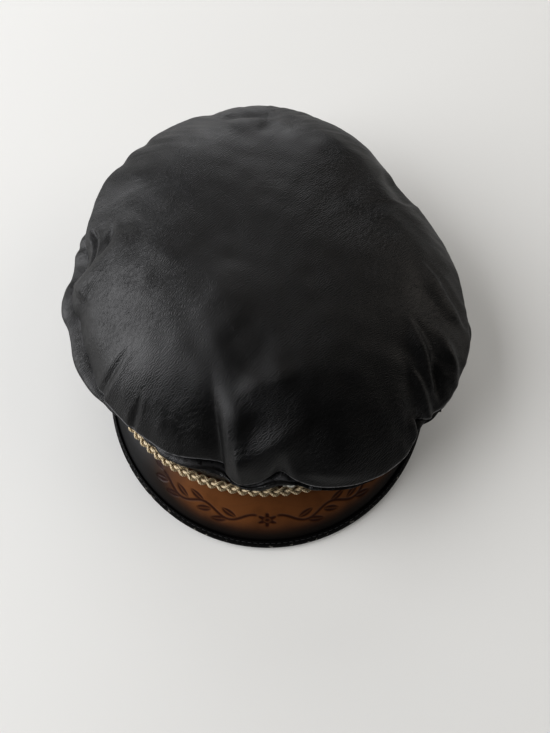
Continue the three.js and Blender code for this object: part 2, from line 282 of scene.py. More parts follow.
def black_leather(name, dark, light, rub_and_highlight_colour, dull, shiny, scuffed, gloss=0.4):
    """Soft pebbled leather between two blacks and two roughnesses, grey on a marked edge: scuffs, and on
    the crown also a painted highlight.
    """
    material, tree, shader = new_finish(name, Specular_IOR_Level=gloss)
    place = add(tree, "ShaderNodeTexCoord").outputs["Object"]
    lean = (0, 0, math.radians(GRAIN_LEAN))
    leaning = add(tree, "ShaderNodeMapping", {"Vector": place, "Rotation": lean}, vector_type="TEXTURE")
    ridges = add(tree, "ShaderNodeTexWave",
                 {"Vector": leaning.outputs["Vector"], "Scale": BAND_SPAN * per_mm(HATCH_MM),
                  "Distortion": HATCH_WAVER, "Detail": 1.0, "Detail Scale": 1.4}, bands_direction="Y")
    cells = add(tree, "ShaderNodeTexVoronoi", {"Vector": place, "Scale": per_mm(PEBBLE_MM)},
                feature="DISTANCE_TO_EDGE")
    pebble = add(tree, "ShaderNodeMapRange", {"Value": cells.outputs["Distance"], "From Max": 0.3},
                 interpolation_type="SMOOTHSTEP").outputs["Result"]
    grain = add(tree, "ShaderNodeMath", {0: pebble, 1: PEBBLE_SHARE, 2: ridges.outputs["Fac"]},
                operation="MULTIPLY_ADD")
    patches = add(tree, "ShaderNodeTexNoise",
                  {"Vector": place, "Scale": per_mm(PATCH_MM), "Detail": 4.0}).outputs["Fac"]
    rough = add(tree, "ShaderNodeMapRange",
                {"Value": patches, "From Min": 0.3, "From Max": 0.7, "To Min": shiny, "To Max": dull})
    strength = add(tree, "ShaderNodeMapRange",
                   {"Value": patches, "From Min": 0.35, "From Max": 0.6, "To Min": FLAT_PATCH})
    bump = add(tree, "ShaderNodeBump", {"Height": grain.outputs["Value"], "Distance": GRAIN_DEPTH_MM * MM,
                                        "Strength": strength.outputs["Result"]})
    scuffs = add(tree, "ShaderNodeTexNoise", {"Vector": place, "Scale": per_mm(SCUFF_MM), "Detail": 3.0})
    bare = add(tree, "ShaderNodeMapRange", {"Value": scuffs.outputs["Fac"], "From Min": scuffed,
                                            "From Max": scuffed + SCUFF_EDGE}).outputs["Result"]
    # Painted highlight: on the crown the marked edge stands for a thin line of reflected light as well as
    # scuffs.
    edge = add(tree, "ShaderNodeAttribute", attribute_name="rubbed_edge_and_highlight").outputs["Fac"]
    rub_and_highlight = add(tree, "ShaderNodeMath", {0: edge, 1: bare}, operation="MULTIPLY").outputs["Value"]
    tint = add(tree, "ShaderNodeMix", {0: pebble, 6: linear(dark), 7: linear(light)}, data_type="RGBA")
    colour = add(tree, "ShaderNodeMix", {0: rub_and_highlight, 6: tint.outputs[2], 7: linear(rub_and_highlight_colour)}, data_type="RGBA")
    tree.links.new(colour.outputs[2], shader.inputs["Base Color"])
    tree.links.new(rough.outputs["Result"], shader.inputs["Roughness"])
    tree.links.new(bump.outputs["Normal"], shader.inputs["Normal"])
    return material


# The crown's grey is rubbing and painted highlight; the binding's grey is scuffs only.
crown_leather = black_leather("black_garment_leather", dark="#080808", light="#0f0f10", rub_and_highlight_colour="#747476",
                              dull=0.5, shiny=0.4, scuffed=0.36, gloss=0.5)
band_leather = black_leather("black_band_leather", dark="#080808", light="#0f0f10", rub_and_highlight_colour="#8a8680",
                             dull=0.46, shiny=0.36, scuffed=0.62)
edge_leather = black_leather("black_edge_leather", dark="#050505", light="#090909", rub_and_highlight_colour="#a8a49c",
                             dull=0.5, shiny=0.4, scuffed=0.62, gloss=0.15)
print("leather finishes:", crown_leather.name, band_leather.name, edge_leather.name)

# %% [markdown]
# ## The crown's top panel
# The top is one round panel of soft leather, cut larger than the head so that it puffs up and rumples.
# Its rim seam is slack: it swells out in some places and is drawn in at others, and the slack runs
# inwards as folds. A cloth simulation would rumple it at random, while these folds have known places, so
# the panel is a dome over a polar grid, and short tables say where the rim swells and where each fold
# runs.

# %% The dome and its slack rim
CROWN_CENTRE_Y = 20.0
RIM_RADIUS = 118.0
RIM_HEIGHT = 61.5
RIM_BACK_LIFT = 6.5
DOME_HEIGHT = 35.0
SHOULDER_POWER = 3.6

# Directions and spreads are in degrees from the front, positive to the wearer's left. A lobe moves the rim
# out and lifts it by millimetres, and it fades towards the middle with the power called inward.
Lobe = namedtuple("Lobe", "place at spread out lift inward")
RIM_LOBES = [
    Lobe("back overhang", -176, 38, 4, 2, 2),
    Lobe("left back sag", 124, 30, -11.5, -5, 2),
    Lobe("left front droop", 31, 21, 9.5, -5, 2),
    Lobe("left temple swell", 72, 10, 4, 0, 4),
    Lobe("left front notch", 47, 5, -6, 3, 8),
    Lobe("left second swell", 57, 9, 2, -1, 5),
    Lobe("front draw-in", -4, 32, -5, 0, 3),
    Lobe("front notch", 4, 6, -5, 5, 8),
    Lobe("front swell", -7, 6, 2, -3, 6),
    Lobe("front pinch", -19, 9, -2.5, 3, 5),
    Lobe("right front tuck", -44, 16, -3.5, 0, 3),
    Lobe("right temple swell", -76, 18, -4, -1, 6),
    Lobe("right side break", -79, 4, -2.5, -2, 12),
    Lobe("right front seam", -66, 12, -2.5, 0, 10),
    Lobe("right side gap", -97, 7, -6.5, -2, 8),
    Lobe("right back swell", -135, 30, 4, 0, 2),
    Lobe("first back notch", -132, 2.0, -1.3, 0, 24),
    Lobe("second back notch", -141, 2.0, -1.5, 0, 24),
    Lobe("third back notch", -163, 2.2, -1.8, 0, 24),
]


def crown_dome(reach, angle):
    """The panel before it folds, by reach (0 in the middle, 1 at the rim) and direction."""
    turn = np.degrees(angle)
    radius = RIM_RADIUS + 0 * turn * reach
    lift = -RIM_BACK_LIFT * np.cos(angle) * reach**2
    for lobe in RIM_LOBES:
        share = swelling(turn_between(turn, lobe.at), lobe.spread) * reach**lobe.inward
        radius = radius + lobe.out * share
        lift = lift + lobe.lift * share
    height = RIM_HEIGHT + lift + DOME_HEIGHT * (1 - reach**SHOULDER_POWER)
    across = radius * reach
    return np.stack([across * np.sin(angle), CROWN_CENTRE_Y - across * np.cos(angle), height], -1)


print("rim lobes:", len(RIM_LOBES), "and the dome's middle in mm:", crown_dome(0.0, 0.0))

# %% [markdown]
# Each fold is a line in plan with a bend, and a profile across it: a valley or ridge with softer
# shoulders. Its two flanks may differ, since a crease in leather is steep on one side and soft on the
# other. It fades out at its ends, except where it runs over the rim. In the table a positive depth is a
# valley and a negative one a ridge, both in millimetres like the widths, and the fades are shares of the
# fold's length.

# %% The folds of the top panel
Fold = namedtuple("Fold", "place start bend end depth right_width left_width shoulder fade_in fade_out")
TOP_FOLDS = [
    Fold("front notch", (10, -78), (8, -87), (6, -98), 3.0, 4.6, 4.6, 0.3, 0.9, 0.0),
    Fold("lower bulge streak", (-20, -86), (3, -83), (27, -60), -2.4, 8.0, 6.0, 0.2, 0.1, 0.4),
    Fold("upper bulge streak", (-19, -53), (-1, -48), (24, -36), -1.3, 6.0, 5.0, 0.1, 0.4, 0.4),
    Fold("second front swell", (36, -62), (38, -78), (38, -96), -2.0, 16, 16, 0.0, 0.5, 0.2),
    Fold("middle ridge", (-22, 30), (-25, -6), (-23, -56), -1.3, 12, 14, 0.0, 0.4, 0.6),
    Fold("middle valley", (-67, 9), (-56, 15), (-44, 13), 0.6, 4.5, 6.5, 0.2, 0.4, 0.4),
    Fold("right front crease", (-70, -20), (-83, -36), (-101, -51), 1.3, 2.4, 1.9, 0.4, 0.6, 0.1),
    Fold("right front dip", (-66, -47), (-71, -56), (-77, -66), 0.75, 1.9, 1.6, 0.4, 0.7, 0.1),
    Fold("right side slot", (-110, 60), (-104, 44), (-101, 24), 2.6, 1.4, 1.4, 0.3, 0.3, 0.25),
    Fold("right side dimple", (-93, 57), (-96, 45), (-96, 32), 2.2, 2.6, 3.6, 0.25, 0.45, 0.45),
    Fold("right side ridge", (-74, 52), (-92, 26), (-111, 12), -2.8, 10, 8, 0.1, 0.3, 0.1),
    Fold("right side valley", (-93, 16), (-102, 8), (-109, -1), 0.9, 3.0, 4.5, 0.3, 0.4, 0.25),
    Fold("right back slope", (-96, 92), (-98, 55), (-86, 18), 4.6, 34, 34, 0.0, 0.4, 0.4),
    Fold("left side ridge", (84, 29), (99, 9), (114, -9), -2.2, 6.0, 2.4, 0.3, 0.35, 0.3),
    Fold("left temple ridge", (96, -12), (107, -27), (107, -44), -1.9, 5.0, 2.2, 0.3, 0.4, 0.3),
    Fold("left front ridge", (76, -6), (88, -26), (94, -50), -2.2, 5.0, 2.4, 0.3, 0.4, 0.3),
    Fold("left front valley", (89, -26), (95, -40), (98, -52), 1.8, 2.6, 2.6, 0.3, 0.4, 0.4),
    Fold("left lower ridge", (78, -34), (87, -45), (93, -62), -2.0, 4.0, 2.0, 0.3, 0.4, 0.2),
    Fold("left tuck", (83, -53), (87, -63), (91, -75), 4.0, 2.2, 2.6, 0.45, 0.45, 0.0),
    Fold("left back dip", (70, 96), (80, 84), (86, 68), 2.6, 7, 7, 0.2, 0.4, 0.2),
    Fold("back valley", (-32, 126), (-12, 130), (8, 124), 2.8, 4.0, 4.6, 0.2, 0.3, 0.3),
    Fold("back ridge", (-27, 115), (-11, 117), (4, 113), -1.6, 6, 6, 0.0, 0.4, 0.4),
]
print("folds of the top panel:", len(TOP_FOLDS))

# %% [markdown]
# A fold's line is a curve through its bend, cut into short legs. Each point of the panel takes its
# nearest leg, which says how far off the line the point lies, on which side and how far along. The
# profile follows from that.

# %% How a fold shapes the leather
BEND_STEPS = 12
FOLD_END_WIDTH = 0.45
SHOULDER_AT = 2.1
SHOULDER_SPREAD = 1.3


def along_fold(fold, plan):
    """The distance of plan points to the left of a fold's line, and how far along it they lie (0 to 1)."""
    steps = np.linspace(0, 1, BEND_STEPS + 1)[:, None]
    start, bend, end = (np.array(p, float) for p in (fold.start, fold.bend, fold.end))
    line = (1 - steps) ** 2 * start + 2 * steps * (1 - steps) * bend + steps**2 * end
    nearest = np.full(plan.shape[:-1], 1e9)
    side = np.ones(plan.shape[:-1])
    place = np.zeros(plan.shape[:-1])
    for i in range(BEND_STEPS):
        leg = line[i + 1] - line[i]
        offset = plan - line[i]
        share = np.clip((offset @ leg) / (leg @ leg), 0, 1)
        gap = np.linalg.norm(offset - share[..., None] * leg, axis=-1)
        closer = gap < nearest
        nearest = np.where(closer, gap, nearest)
        side = np.where(closer, np.sign(leg[0] * offset[..., 1] - leg[1] * offset[..., 0]), side)
        place = np.where(closer, (i + share) / BEND_STEPS, place)
    return nearest * side, place


def fold_height(fold, plan):
    """How far a fold lifts (or lowers) the leather."""
    gap, place = along_fold(fold, plan)
    fade = np.ones_like(place)
    if fold.fade_in:
        fade = fade * smooth_step(place, 0, fold.fade_in)
    if fold.fade_out:
        fade = fade * smooth_step(1 - place, 0, fold.fade_out)
    width = np.where(gap > 0, fold.left_width, fold.right_width)
    width = width * (FOLD_END_WIDTH + (1 - FOLD_END_WIDTH) * fade)
    shoulder = fold.shoulder * swelling(np.abs(gap) - SHOULDER_AT * width, SHOULDER_SPREAD * width)
    return -fold.depth * fade * (swelling(gap, width) - shoulder)


deepest = max(TOP_FOLDS, key=lambda fold: fold.depth)
bend_height = fold_height(deepest, np.array([deepest.bend], float))
print("deepest fold:", deepest.place, "with", bend_height.round(1), "mm at its bend")

# %% [markdown]
# The front pinch is sharper than the folds. From the right the leather sinks slowly into a hollow, then
# it turns up at a crisp line into a round bulge on the left, and the rim beside the hollow is drawn in.

# %% The front pinch
PINCH_X = (-28.5, -27.0)
PINCH_Y = (-40.0, -92.0)
PINCH_DEPTH = 8.4
PINCH_CRISPNESS = 0.7
PINCH_HOLLOW_REACH = 24
PINCH_FLANK_REACH = 5.5
PINCH_BULGE = 2.1
PINCH_BULGE_AT = 10
PINCH_BULGE_SPREAD = 8
PINCH_FULL_AT = 0.7
PINCH_DRAW = 1.0
PINCH_DRAW_REACH = 20
PINCH_DRAW_SIDES = (3.0, -1.5)
PINCH_DRAW_FROM = 0.3


def pinch_side(plan):
    """How far plan points lie to the left of the pinch, and how far down along it (0 to 1)."""
    share = (plan[..., 1] - PINCH_Y[0]) / (PINCH_Y[1] - PINCH_Y[0])
    return plan[..., 0] - (PINCH_X[0] + (PINCH_X[1] - PINCH_X[0]) * share), share


def pinch_height(plan):
    """How far the front pinch lifts or lowers the leather."""
    side, share = pinch_side(plan)
    reach = np.where(side < 0, PINCH_HOLLOW_REACH, PINCH_FLANK_REACH)
    valley = PINCH_DEPTH * np.exp((PINCH_CRISPNESS - np.hypot(side, PINCH_CRISPNESS)) / reach)
    bulge = PINCH_BULGE * swelling(side - PINCH_BULGE_AT, PINCH_BULGE_SPREAD)
    return smooth_step(share, 0, PINCH_FULL_AT) * (bulge - valley)


def pinch_draw(plan):
    """How far the rim is drawn in beside the pinch."""
    side, share = pinch_side(plan)
    hollow = swelling(np.minimum(side, 0), PINCH_DRAW_REACH) * smooth_step(side, *PINCH_DRAW_SIDES)
    return PINCH_DRAW * hollow * smooth_step(share, PINCH_DRAW_FROM, 1.0)


pinch_end = np.array([PINCH_X[1], PINCH_Y[1]])
print("height of the pinch at the rim in mm:", pinch_height(pinch_end).round(1))

# %% [markdown]
# Between the folds the panel is nearly smooth. Broad lumps come from the slack, a faint unevenness from
# the skin itself, and drawn wrinkles run in from the rim only where the seam gathers the leather. A short
# table says where that is, and one function adds up what the rows of such a table give.

# %% The relief of the top panel
LUMP_MM = 64
LUMP_HEIGHT = 0.85
UNEVEN_MM = 17
UNEVEN_HEIGHT = 0.16
DRAWN_WRINKLES = 34
DRAWN_LEAN = 0.4
DRAWN_BASE = 0.1
DRAWN_FROM = (0.66, 0.97)
COARSE_ALONG = 2.2
FINE_ALONG = 4
FINE_PACE = 2.1
FINE_SHARE = 0.5
Patch = namedtuple("Patch", "place at spread height")
DRAWN_PATCHES = [
    Patch("right side", -84, 20, 0.7),
    Patch("right front", -38, 14, 0.35),
    Patch("left front", 60, 18, 0.6),
    Patch("left side", 95, 20, 0.4),
    Patch("back", 178, 30, 0.4),
]


def patched(patches, turn):
    """What a table of patches adds up to at a direction in degrees."""
    return sum(patch.height * swelling(turn_between(turn, patch.at), patch.spread) for patch in patches)


def crown_relief(dome, reach, angle):
    """The height of the leather over the plain dome."""
    plan = dome[..., :2]
    height = pinch_height(plan) + sum(fold_height(fold, plan) for fold in TOP_FOLDS)
    height = height + LUMP_HEIGHT * ripple(plan[..., 0] / LUMP_MM, plan[..., 1] / LUMP_MM, seed=5)
    height = height + UNEVEN_HEIGHT * ripple(plan[..., 0] / UNEVEN_MM, plan[..., 1] / UNEVEN_MM, seed=6)
    round_rim = angle * (1 - DRAWN_LEAN * (1 - reach)) * DRAWN_WRINKLES / (2 * math.pi)
    coarse = creased(ripple(round_rim, COARSE_ALONG * reach, seed=11), softness=0.35)
    fine = creased(ripple(FINE_PACE * round_rim, FINE_ALONG * reach, seed=12))
    drawn_height = DRAWN_BASE + patched(DRAWN_PATCHES, np.degrees(angle))
    return height + drawn_height * (coarse + FINE_SHARE * fine) * smooth_step(reach, *DRAWN_FROM)


print("patches of drawn wrinkles:", len(DRAWN_PATCHES))

# %% [markdown]
# The folded skin is carried on round the rim seam as a small roll, and the inner face follows one
# thickness of leather inside it, so the wall closes on itself. The roll takes its directions from the
# mean of its neighbours, because a sharp fold would turn it inside out. A grey line along the roll is
# partly rubbing from handling and partly a painted highlight, full in front and faint at the back.

# %% The top panel's wall
TOP_LEATHER = 1.3
ROUND_STEPS = 560
RIM_ROLL = 3.0
ROLL_TURNS = np.radians([10, 20, 30, 40, 50, 65, 80, 100, 120, 140, 168, 196])
RIM_EASE = 5
RUB_AND_HIGHLIGHT_TURN = math.radians(30)
RUB_AND_HIGHLIGHT_SPREAD = 0.3
BACK_RUB_AND_HIGHLIGHT = 0.12
FRONT_RUB_AND_HIGHLIGHT = (0.1, 0.6)
top_reach = np.concatenate([np.linspace(0.02, 0.56, 24, endpoint=False), np.linspace(0.56, 1, 50)])[:, None]
round_angle = np.linspace(-math.pi, math.pi, ROUND_STEPS, endpoint=False)[None, :]


def crown_top_skin(reach, angle):
    """The outer face of the folded panel, and its outward directions."""
    dome = crown_dome(reach, angle)
    outward = np.stack([np.sin(angle), -np.cos(angle), 0 * angle], -1)
    skin = dome - pinch_draw(dome[..., :2])[..., None] * outward
    skin = skin + crown_relief(dome, reach, angle)[..., None] * grid_normals(skin, ring=True)
    return skin, grid_normals(skin, ring=True)


def eased(ring):
    """A ring of values, each the mean of its near neighbours, so that a sharp fold stays out of a seam."""
    return np.mean([np.roll(ring, step, 0) for step in range(-RIM_EASE, RIM_EASE + 1)], 0)


top_skin, top_out = crown_top_skin(top_reach, round_angle)
rim_out = unit(eased(top_out[-1]))
rim_down = unit(eased(unit(top_skin[-1] - top_skin[-2])))
roll_middle = top_skin[-1] - RIM_ROLL * rim_out
roll = np.array([np.sin(t) * rim_down + np.cos(t) * rim_out for t in ROLL_TURNS])
top_outer = np.concatenate([top_skin, roll_middle + RIM_ROLL * roll])
top_inner = np.concatenate([top_skin - TOP_LEATHER * top_out,
                            roll_middle + (RIM_ROLL - TOP_LEATHER) * roll])
crown_top = belongs(leather_wall("crown_top_leather", top_outer, top_inner, crown_leather, pole=True),
                    "black_leather", "crown_top")
# Painted highlight and rubbing on the roll: full in front, faint at the back.
front_rub_and_highlight = BACK_RUB_AND_HIGHLIGHT + (1 - BACK_RUB_AND_HIGHLIGHT) * smooth_step(np.cos(round_angle), *FRONT_RUB_AND_HIGHLIGHT)
top_rub_and_highlight = np.zeros(top_outer.shape[:2])
top_rub_and_highlight[len(top_skin):] = swelling(ROLL_TURNS - RUB_AND_HIGHLIGHT_TURN, RUB_AND_HIGHLIGHT_SPREAD)[:, None] * front_rub_and_highlight
add_measure(crown_top, "rubbed_edge_and_highlight", top_rub_and_highlight)
print("crown top spans in mm:", np.round(top_outer.min((0, 1)), 1), np.round(top_outer.max((0, 1)), 1))

# %% [markdown]
# ## The crown's side wall
# A strip of the same leather hangs from the rim seam to the band. It is longer than either seam, so it
# bellies out and gathers into upright folds, tightest where it is sewn to the band. Its upper edge starts
# inside the roll of the rim, which leaves the narrow dark line that shows under the edge of the top
# panel.

# %% The band's plan and the side wall's belly
BAND_HEIGHT = 22.0
BAND_CLIMB = 0.144
REST_LINE_Y = 78.0
SIDE_BELLY = 5.0
SIDE_BELLIES = [
    Patch("right side", -90, 32, 7),
    Patch("left side", 88, 40, 2.5),
    Patch("back", 180, 60, 9),
    Patch("right back", -150, 22, 7),
    Patch("right gap", -97, 10, 5),
    Patch("right front side", -70, 12, 4),
    Patch("right front", -44, 15, -4.5),
]


def band_plan(angle, out=0.0):
    """Plan points at a distance outside the band's outer face, and the outward directions there."""
    length = np.where(np.cos(angle) > 0, BAND_FRONT, BAND_BACK)
    flat = np.zeros_like(angle)
    face = np.stack([BAND_HALF_WIDTH * np.sin(angle), -length * np.cos(angle), flat], -1)
    outward = unit(np.stack([np.sin(angle) / BAND_HALF_WIDTH, -np.cos(angle) / length, flat], -1))
    return face + np.asarray(out)[..., None] * outward, outward


def band_foot(y):
    """The height of the band's lower edge, pressed flat at the back."""
    return np.maximum(0, BAND_CLIMB * (REST_LINE_Y - y))


def band_top(y):
    """The height of the band's upper edge."""
    return BAND_CLIMB * (REST_LINE_Y - y) + BAND_HEIGHT


band_angle = round_angle[0]
wall_turn = np.degrees(band_angle)
band_face, band_outward = band_plan(band_angle)
belly = SIDE_BELLY + patched(SIDE_BELLIES, wall_turn)
print("the wall bellies out by", round(belly.min(), 1), "to", round(belly.max(), 1), "mm")

# %% [markdown]
# The wall runs from inside the roll of the rim to just over the band. First its plain shape is laid out:
# a straight fall, bellied out, tucked in under the rim and drawn in beside the front pinch.

# %% The side wall's plain shape
SEAM_TUCK = 0.8
BELLY_LIFT = 0.7
BELLY_ROUND = 0.8
RIM_TUCK = 4.2
RIM_TUCK_AT = 0.075
PINCH_AT = -12
PINCH_TURN = 7
PINCH_TUCK = 3.0
PINCH_SINK = 1.5
ROLL_OUT = 0.25
ROLL_DOWN = 0.85
BAND_CLEAR = 0.2
side_fall = np.linspace(0, 1, 44)[:, None]

pinched = swelling(turn_between(wall_turn, PINCH_AT), PINCH_TURN)[:, None]
wall_start = eased(roll_middle) + (ROLL_OUT * RIM_ROLL - PINCH_TUCK * pinched) * band_outward
wall_start[:, 2] -= ROLL_DOWN * RIM_ROLL + PINCH_SINK * pinched[:, 0]
wall_end = band_face - SEAM_TUCK * band_outward
wall_end[:, 2] = band_top(band_face[:, 1]) + BAND_CLEAR
bulge = np.sin(math.pi * side_fall**BELLY_LIFT) ** BELLY_ROUND * belly
bulge = bulge - RIM_TUCK * swelling(side_fall - RIM_TUCK_AT, RIM_TUCK_AT)
side_plain = wall_start + (wall_end - wall_start) * side_fall[..., None]
side_plain = side_plain + bulge[..., None] * band_outward
print("the wall falls by", round((wall_start - wall_end)[:, 2].mean(), 1), "mm on average")

# %% [markdown]
# Then the slack goes in. Gathers, lumps and small crumples are ripples that run round the wall and slant
# as they fall. The two seams hold them flat, and so does the upright seam at the back, where the strip's
# ends meet.

# %% The side wall's leather
SIDE_LEATHER = 1.3
GATHERS = 34
GATHER_HEIGHT = 1.6
GATHER_AT_RIM = 0.45
GATHER_GROWTH = 0.75
SIDE_LUMPS = 13
SIDE_LUMP_HEIGHT = 1.6
CRUMPLES = 44
WALL_CRUMPLES = [
    Patch("front notch", 3, 13, 1.0),
    Patch("right side", -96, 14, 0.5),
    Patch("left front", 50, 14, 0.8),
]
SEAM_TURN = 0.9
SEAM_CALM = 5
SEAM_CALM_SHARE = 0.7
HELD_BY_RIM = 0.12
HELD_BY_BAND = 0.05
SEAM_DEPTH = 1.0
WALL_RUB_AND_HIGHLIGHT_FALL = 0.19
WALL_RUB_AND_HIGHLIGHT_SPREAD = 0.05
SIDE_RUB_AND_HIGHLIGHT_FRONT = (0.6, 0.85)
SIDE_RUB_AND_HIGHLIGHT = 0.3


def round_ripple(count, slant, falls, seed):
    """A ripple with this many waves round the wall, slanting as it falls."""
    return ripple(band_angle * count / (2 * math.pi) + slant * side_fall, falls * side_fall, seed=seed)


gathers = creased(round_ripple(GATHERS, slant=0.35, falls=0.9, seed=31), softness=0.3)
lumps = round_ripple(SIDE_LUMPS, slant=0, falls=1.3, seed=32)
crumples = creased(round_ripple(CRUMPLES, slant=0.8, falls=2.4, seed=33), softness=0.2)
crumples = crumples * patched(WALL_CRUMPLES, wall_turn)
held = smooth_step(side_fall, 0, HELD_BY_RIM) * smooth_step(1 - side_fall, 0, HELD_BY_BAND)
gathered = GATHER_HEIGHT * (GATHER_AT_RIM + GATHER_GROWTH * side_fall) * gathers
slack = gathered + SIDE_LUMP_HEIGHT * lumps + crumples
from_back = turn_between(wall_turn, 180)
calm = 1 - SEAM_CALM_SHARE * swelling(from_back, SEAM_CALM)
side_relief = held * (slack * calm - SEAM_DEPTH * swelling(from_back, SEAM_TURN))
side_outer = side_plain + side_relief[..., None] * grid_normals(side_plain, ring=True)
side_inner = side_outer - SIDE_LEATHER * grid_normals(side_outer, ring=True)
crown_side = belongs(leather_wall("crown_side_leather", side_outer, side_inner, crown_leather),
                     "black_leather", "crown_side")
# Painted highlight and rubbing: a grey line along the wall's upper edge under the rim's tuck, only in
# front.
side_rub_and_highlight = SIDE_RUB_AND_HIGHLIGHT * swelling(side_fall - WALL_RUB_AND_HIGHLIGHT_FALL, WALL_RUB_AND_HIGHLIGHT_SPREAD)
side_rub_and_highlight = side_rub_and_highlight * smooth_step(np.cos(band_angle), *SIDE_RUB_AND_HIGHLIGHT_FRONT)
add_measure(crown_side, "rubbed_edge_and_highlight", side_rub_and_highlight)

# %% [markdown]
# ## The head band
# The band is a strip of firmer leather that stands round the head opening. Its edges are turned over, so
# its section is a flat ring with a slightly rounded outer face and round edges. At the back the cap's
# weight presses its lower edge flat on the table. A swept curve could make it, but a wall between two
# grids keeps both of its edges on the solids' heights.

# %% The band's wall
BAND_WALL = 2.2
BAND_CROWNING = 0.7
BAND_EDGE = 1.0
EDGE_STEPS = np.array([0, 0.1, 0.3, 0.6, 1.0])
band_steps = np.concatenate([EDGE_STEPS, np.linspace(2, 20, 10), BAND_HEIGHT - EDGE_STEPS[::-1]])


def rounded_inset(depth, radius):
    """How far a face draws in at a distance from its round edge."""
    near = np.clip(radius - depth, 0, radius)
    return radius - np.sqrt(radius**2 - near**2)


def band_wall(rows):
    """The outer and inner faces of the band, from its top edge (0) down to its foot (1)."""
    top, foot = band_top(band_face[:, 1]), band_foot(band_face[:, 1])
    height = (top + (foot - top) * rows[:, None])[..., None] * np.array([0, 0, 1])
    inset = rounded_inset(np.minimum(rows, 1 - rows) * BAND_HEIGHT, BAND_EDGE)[:, None, None]
    crowning = BAND_CROWNING * np.sin(math.pi * rows)[:, None, None]
    outer = band_face + (crowning - inset) * band_outward + height
    inner = band_face + (inset - BAND_WALL) * band_outward + height
    return outer, inner


band_faces = band_wall(band_steps / BAND_HEIGHT)
belongs(leather_wall("head_band_leather", *band_faces, band_leather), "black_leather", "head_band")

# %% [markdown]
# ## Finish: dyed peak leather
# The peak is thick vegetable-tanned leather, pressed to shape, dyed brown by hand and shaded to black
# towards its edge and ends, then sealed with a smooth wax finish. The eye gets a warm sunburst under a
# soft gloss. The shading follows the piece, so it reads two attributes that the mesh carries: the
# distance from the edge and the distance from the middle, both in millimetres.

# %% Dyed leather
DYE_PATCH_MM = 14
DYE_UNEVEN = 0.7
DYE_MIDDLE = 20.0
DYE_FROM_EDGE = (2.0, 19.0)
DYE_FROM_MIDDLE = (104.0, 60.0)
DYE_EDGE = "#0b0b0c"
DYE_CENTRE = "#6e4a2c"
DYE_BETWEEN = ((0.25, "#241b15"), (0.5, "#402b1e"), (0.75, "#5c3e27"))
TOOLED_DYE = "#2a100c"
TOOLED_SHARE = 0.85
FIBRE_MM = 1.6
FIBRE_DEPTH_MM = 0.04


def dyed_leather(name):
    """A brown sunburst that darkens to black, with a tooled design dyed darker still."""
    material, tree, shader = new_finish(name, Specular_IOR_Level=0.25, Coat_Weight=0.06, Coat_Roughness=0.3)
    place = add(tree, "ShaderNodeTexCoord").outputs["Object"]
    clouds = add(tree, "ShaderNodeTexNoise",
                 {"Vector": place, "Scale": per_mm(DYE_PATCH_MM), "Detail": 5.0}).outputs["Fac"]
    fibres = add(tree, "ShaderNodeTexNoise",
                 {"Vector": place, "Scale": per_mm(FIBRE_MM), "Detail": 3.0}).outputs["Fac"]
    shares = []
    for measure, (low, high) in (("from_edge", DYE_FROM_EDGE), ("from_middle", DYE_FROM_MIDDLE)):
        distance = add(tree, "ShaderNodeAttribute", attribute_name=measure).outputs["Fac"]
        share = add(tree, "ShaderNodeMapRange", {"Value": distance, "From Min": low, "From Max": high},
                    interpolation_type="SMOOTHSTEP")
        shares.append(share.outputs["Result"])
    burst = add(tree, "ShaderNodeMath", dict(enumerate(shares)), operation="MULTIPLY").outputs["Value"]
    uneven = add(tree, "ShaderNodeMath", {0: clouds, 1: DYE_UNEVEN, 2: -DYE_UNEVEN / 2},
                 operation="MULTIPLY_ADD").outputs["Value"]
    shade = add(tree, "ShaderNodeMath", {0: uneven, 1: burst, 2: burst}, operation="MULTIPLY_ADD")
    ground = add(tree, "ShaderNodeValToRGB", {"Fac": shade.outputs["Value"]})
    stops = ground.color_ramp.elements
    stops[0].color = linear(DYE_EDGE)
    stops[1].color = linear(DYE_CENTRE)
    for position, tone in DYE_BETWEEN:
        stops.new(position).color = linear(tone)
    tooled = add(tree, "ShaderNodeAttribute", attribute_name="tooled").outputs["Fac"]
    dark = add(tree, "ShaderNodeMath", {0: tooled, 1: TOOLED_SHARE}, operation="MULTIPLY").outputs["Value"]
    colour = add(tree, "ShaderNodeMix", {0: dark, 6: ground.outputs["Color"], 7: linear(TOOLED_DYE)},
                 data_type="RGBA")
    rough = add(tree, "ShaderNodeMapRange",
                {"Value": clouds, "From Min": 0.3, "From Max": 0.7, "To Min": 0.34, "To Max": 0.48})
    bump = add(tree, "ShaderNodeBump", {"Height": fibres, "Strength": 0.5, "Distance": FIBRE_DEPTH_MM * MM})
    tree.links.new(colour.outputs[2], shader.inputs["Base Color"])
    tree.links.new(rough.outputs["Result"], shader.inputs["Roughness"])
    tree.links.new(bump.outputs["Normal"], shader.inputs["Normal"])
    return material


peak_leather = dyed_leather("dyed_saddle_leather")
print("peak finish:", peak_leather.name, "with", len(peak_leather.node_tree.nodes), "nodes")

# %% [markdown]
# ## The peak
# The peak is a stiff plate let into the foot of the band. Its root follows the band and its edge is half
# an oval, lower in front than at the ends, with a slight camber between them. A lofted grid from root to
# edge gives both faces, and the tidy rows let the dye follow them.

# %% The peak's plate
PEAK_ROOT_SWEEP = 76
PEAK_ROOT_LIFT = 3.8
PEAK_HALF_WIDTH = 99.5
PEAK_END_Y = -24.0
PEAK_REACH = 100.2
PEAK_FRONT_HEIGHT = 3.28
PEAK_END_HEIGHT = 13.0
PEAK_EDGE_POWER = 0.7
PEAK_CAMBER = 1.8
PEAK_THICKNESS = 2.6
PIECE_GAP = 0.3
peak_out = np.linspace(0, 1, 76)[:, None]
peak_along = np.linspace(-1, 1, 421)[None, :]


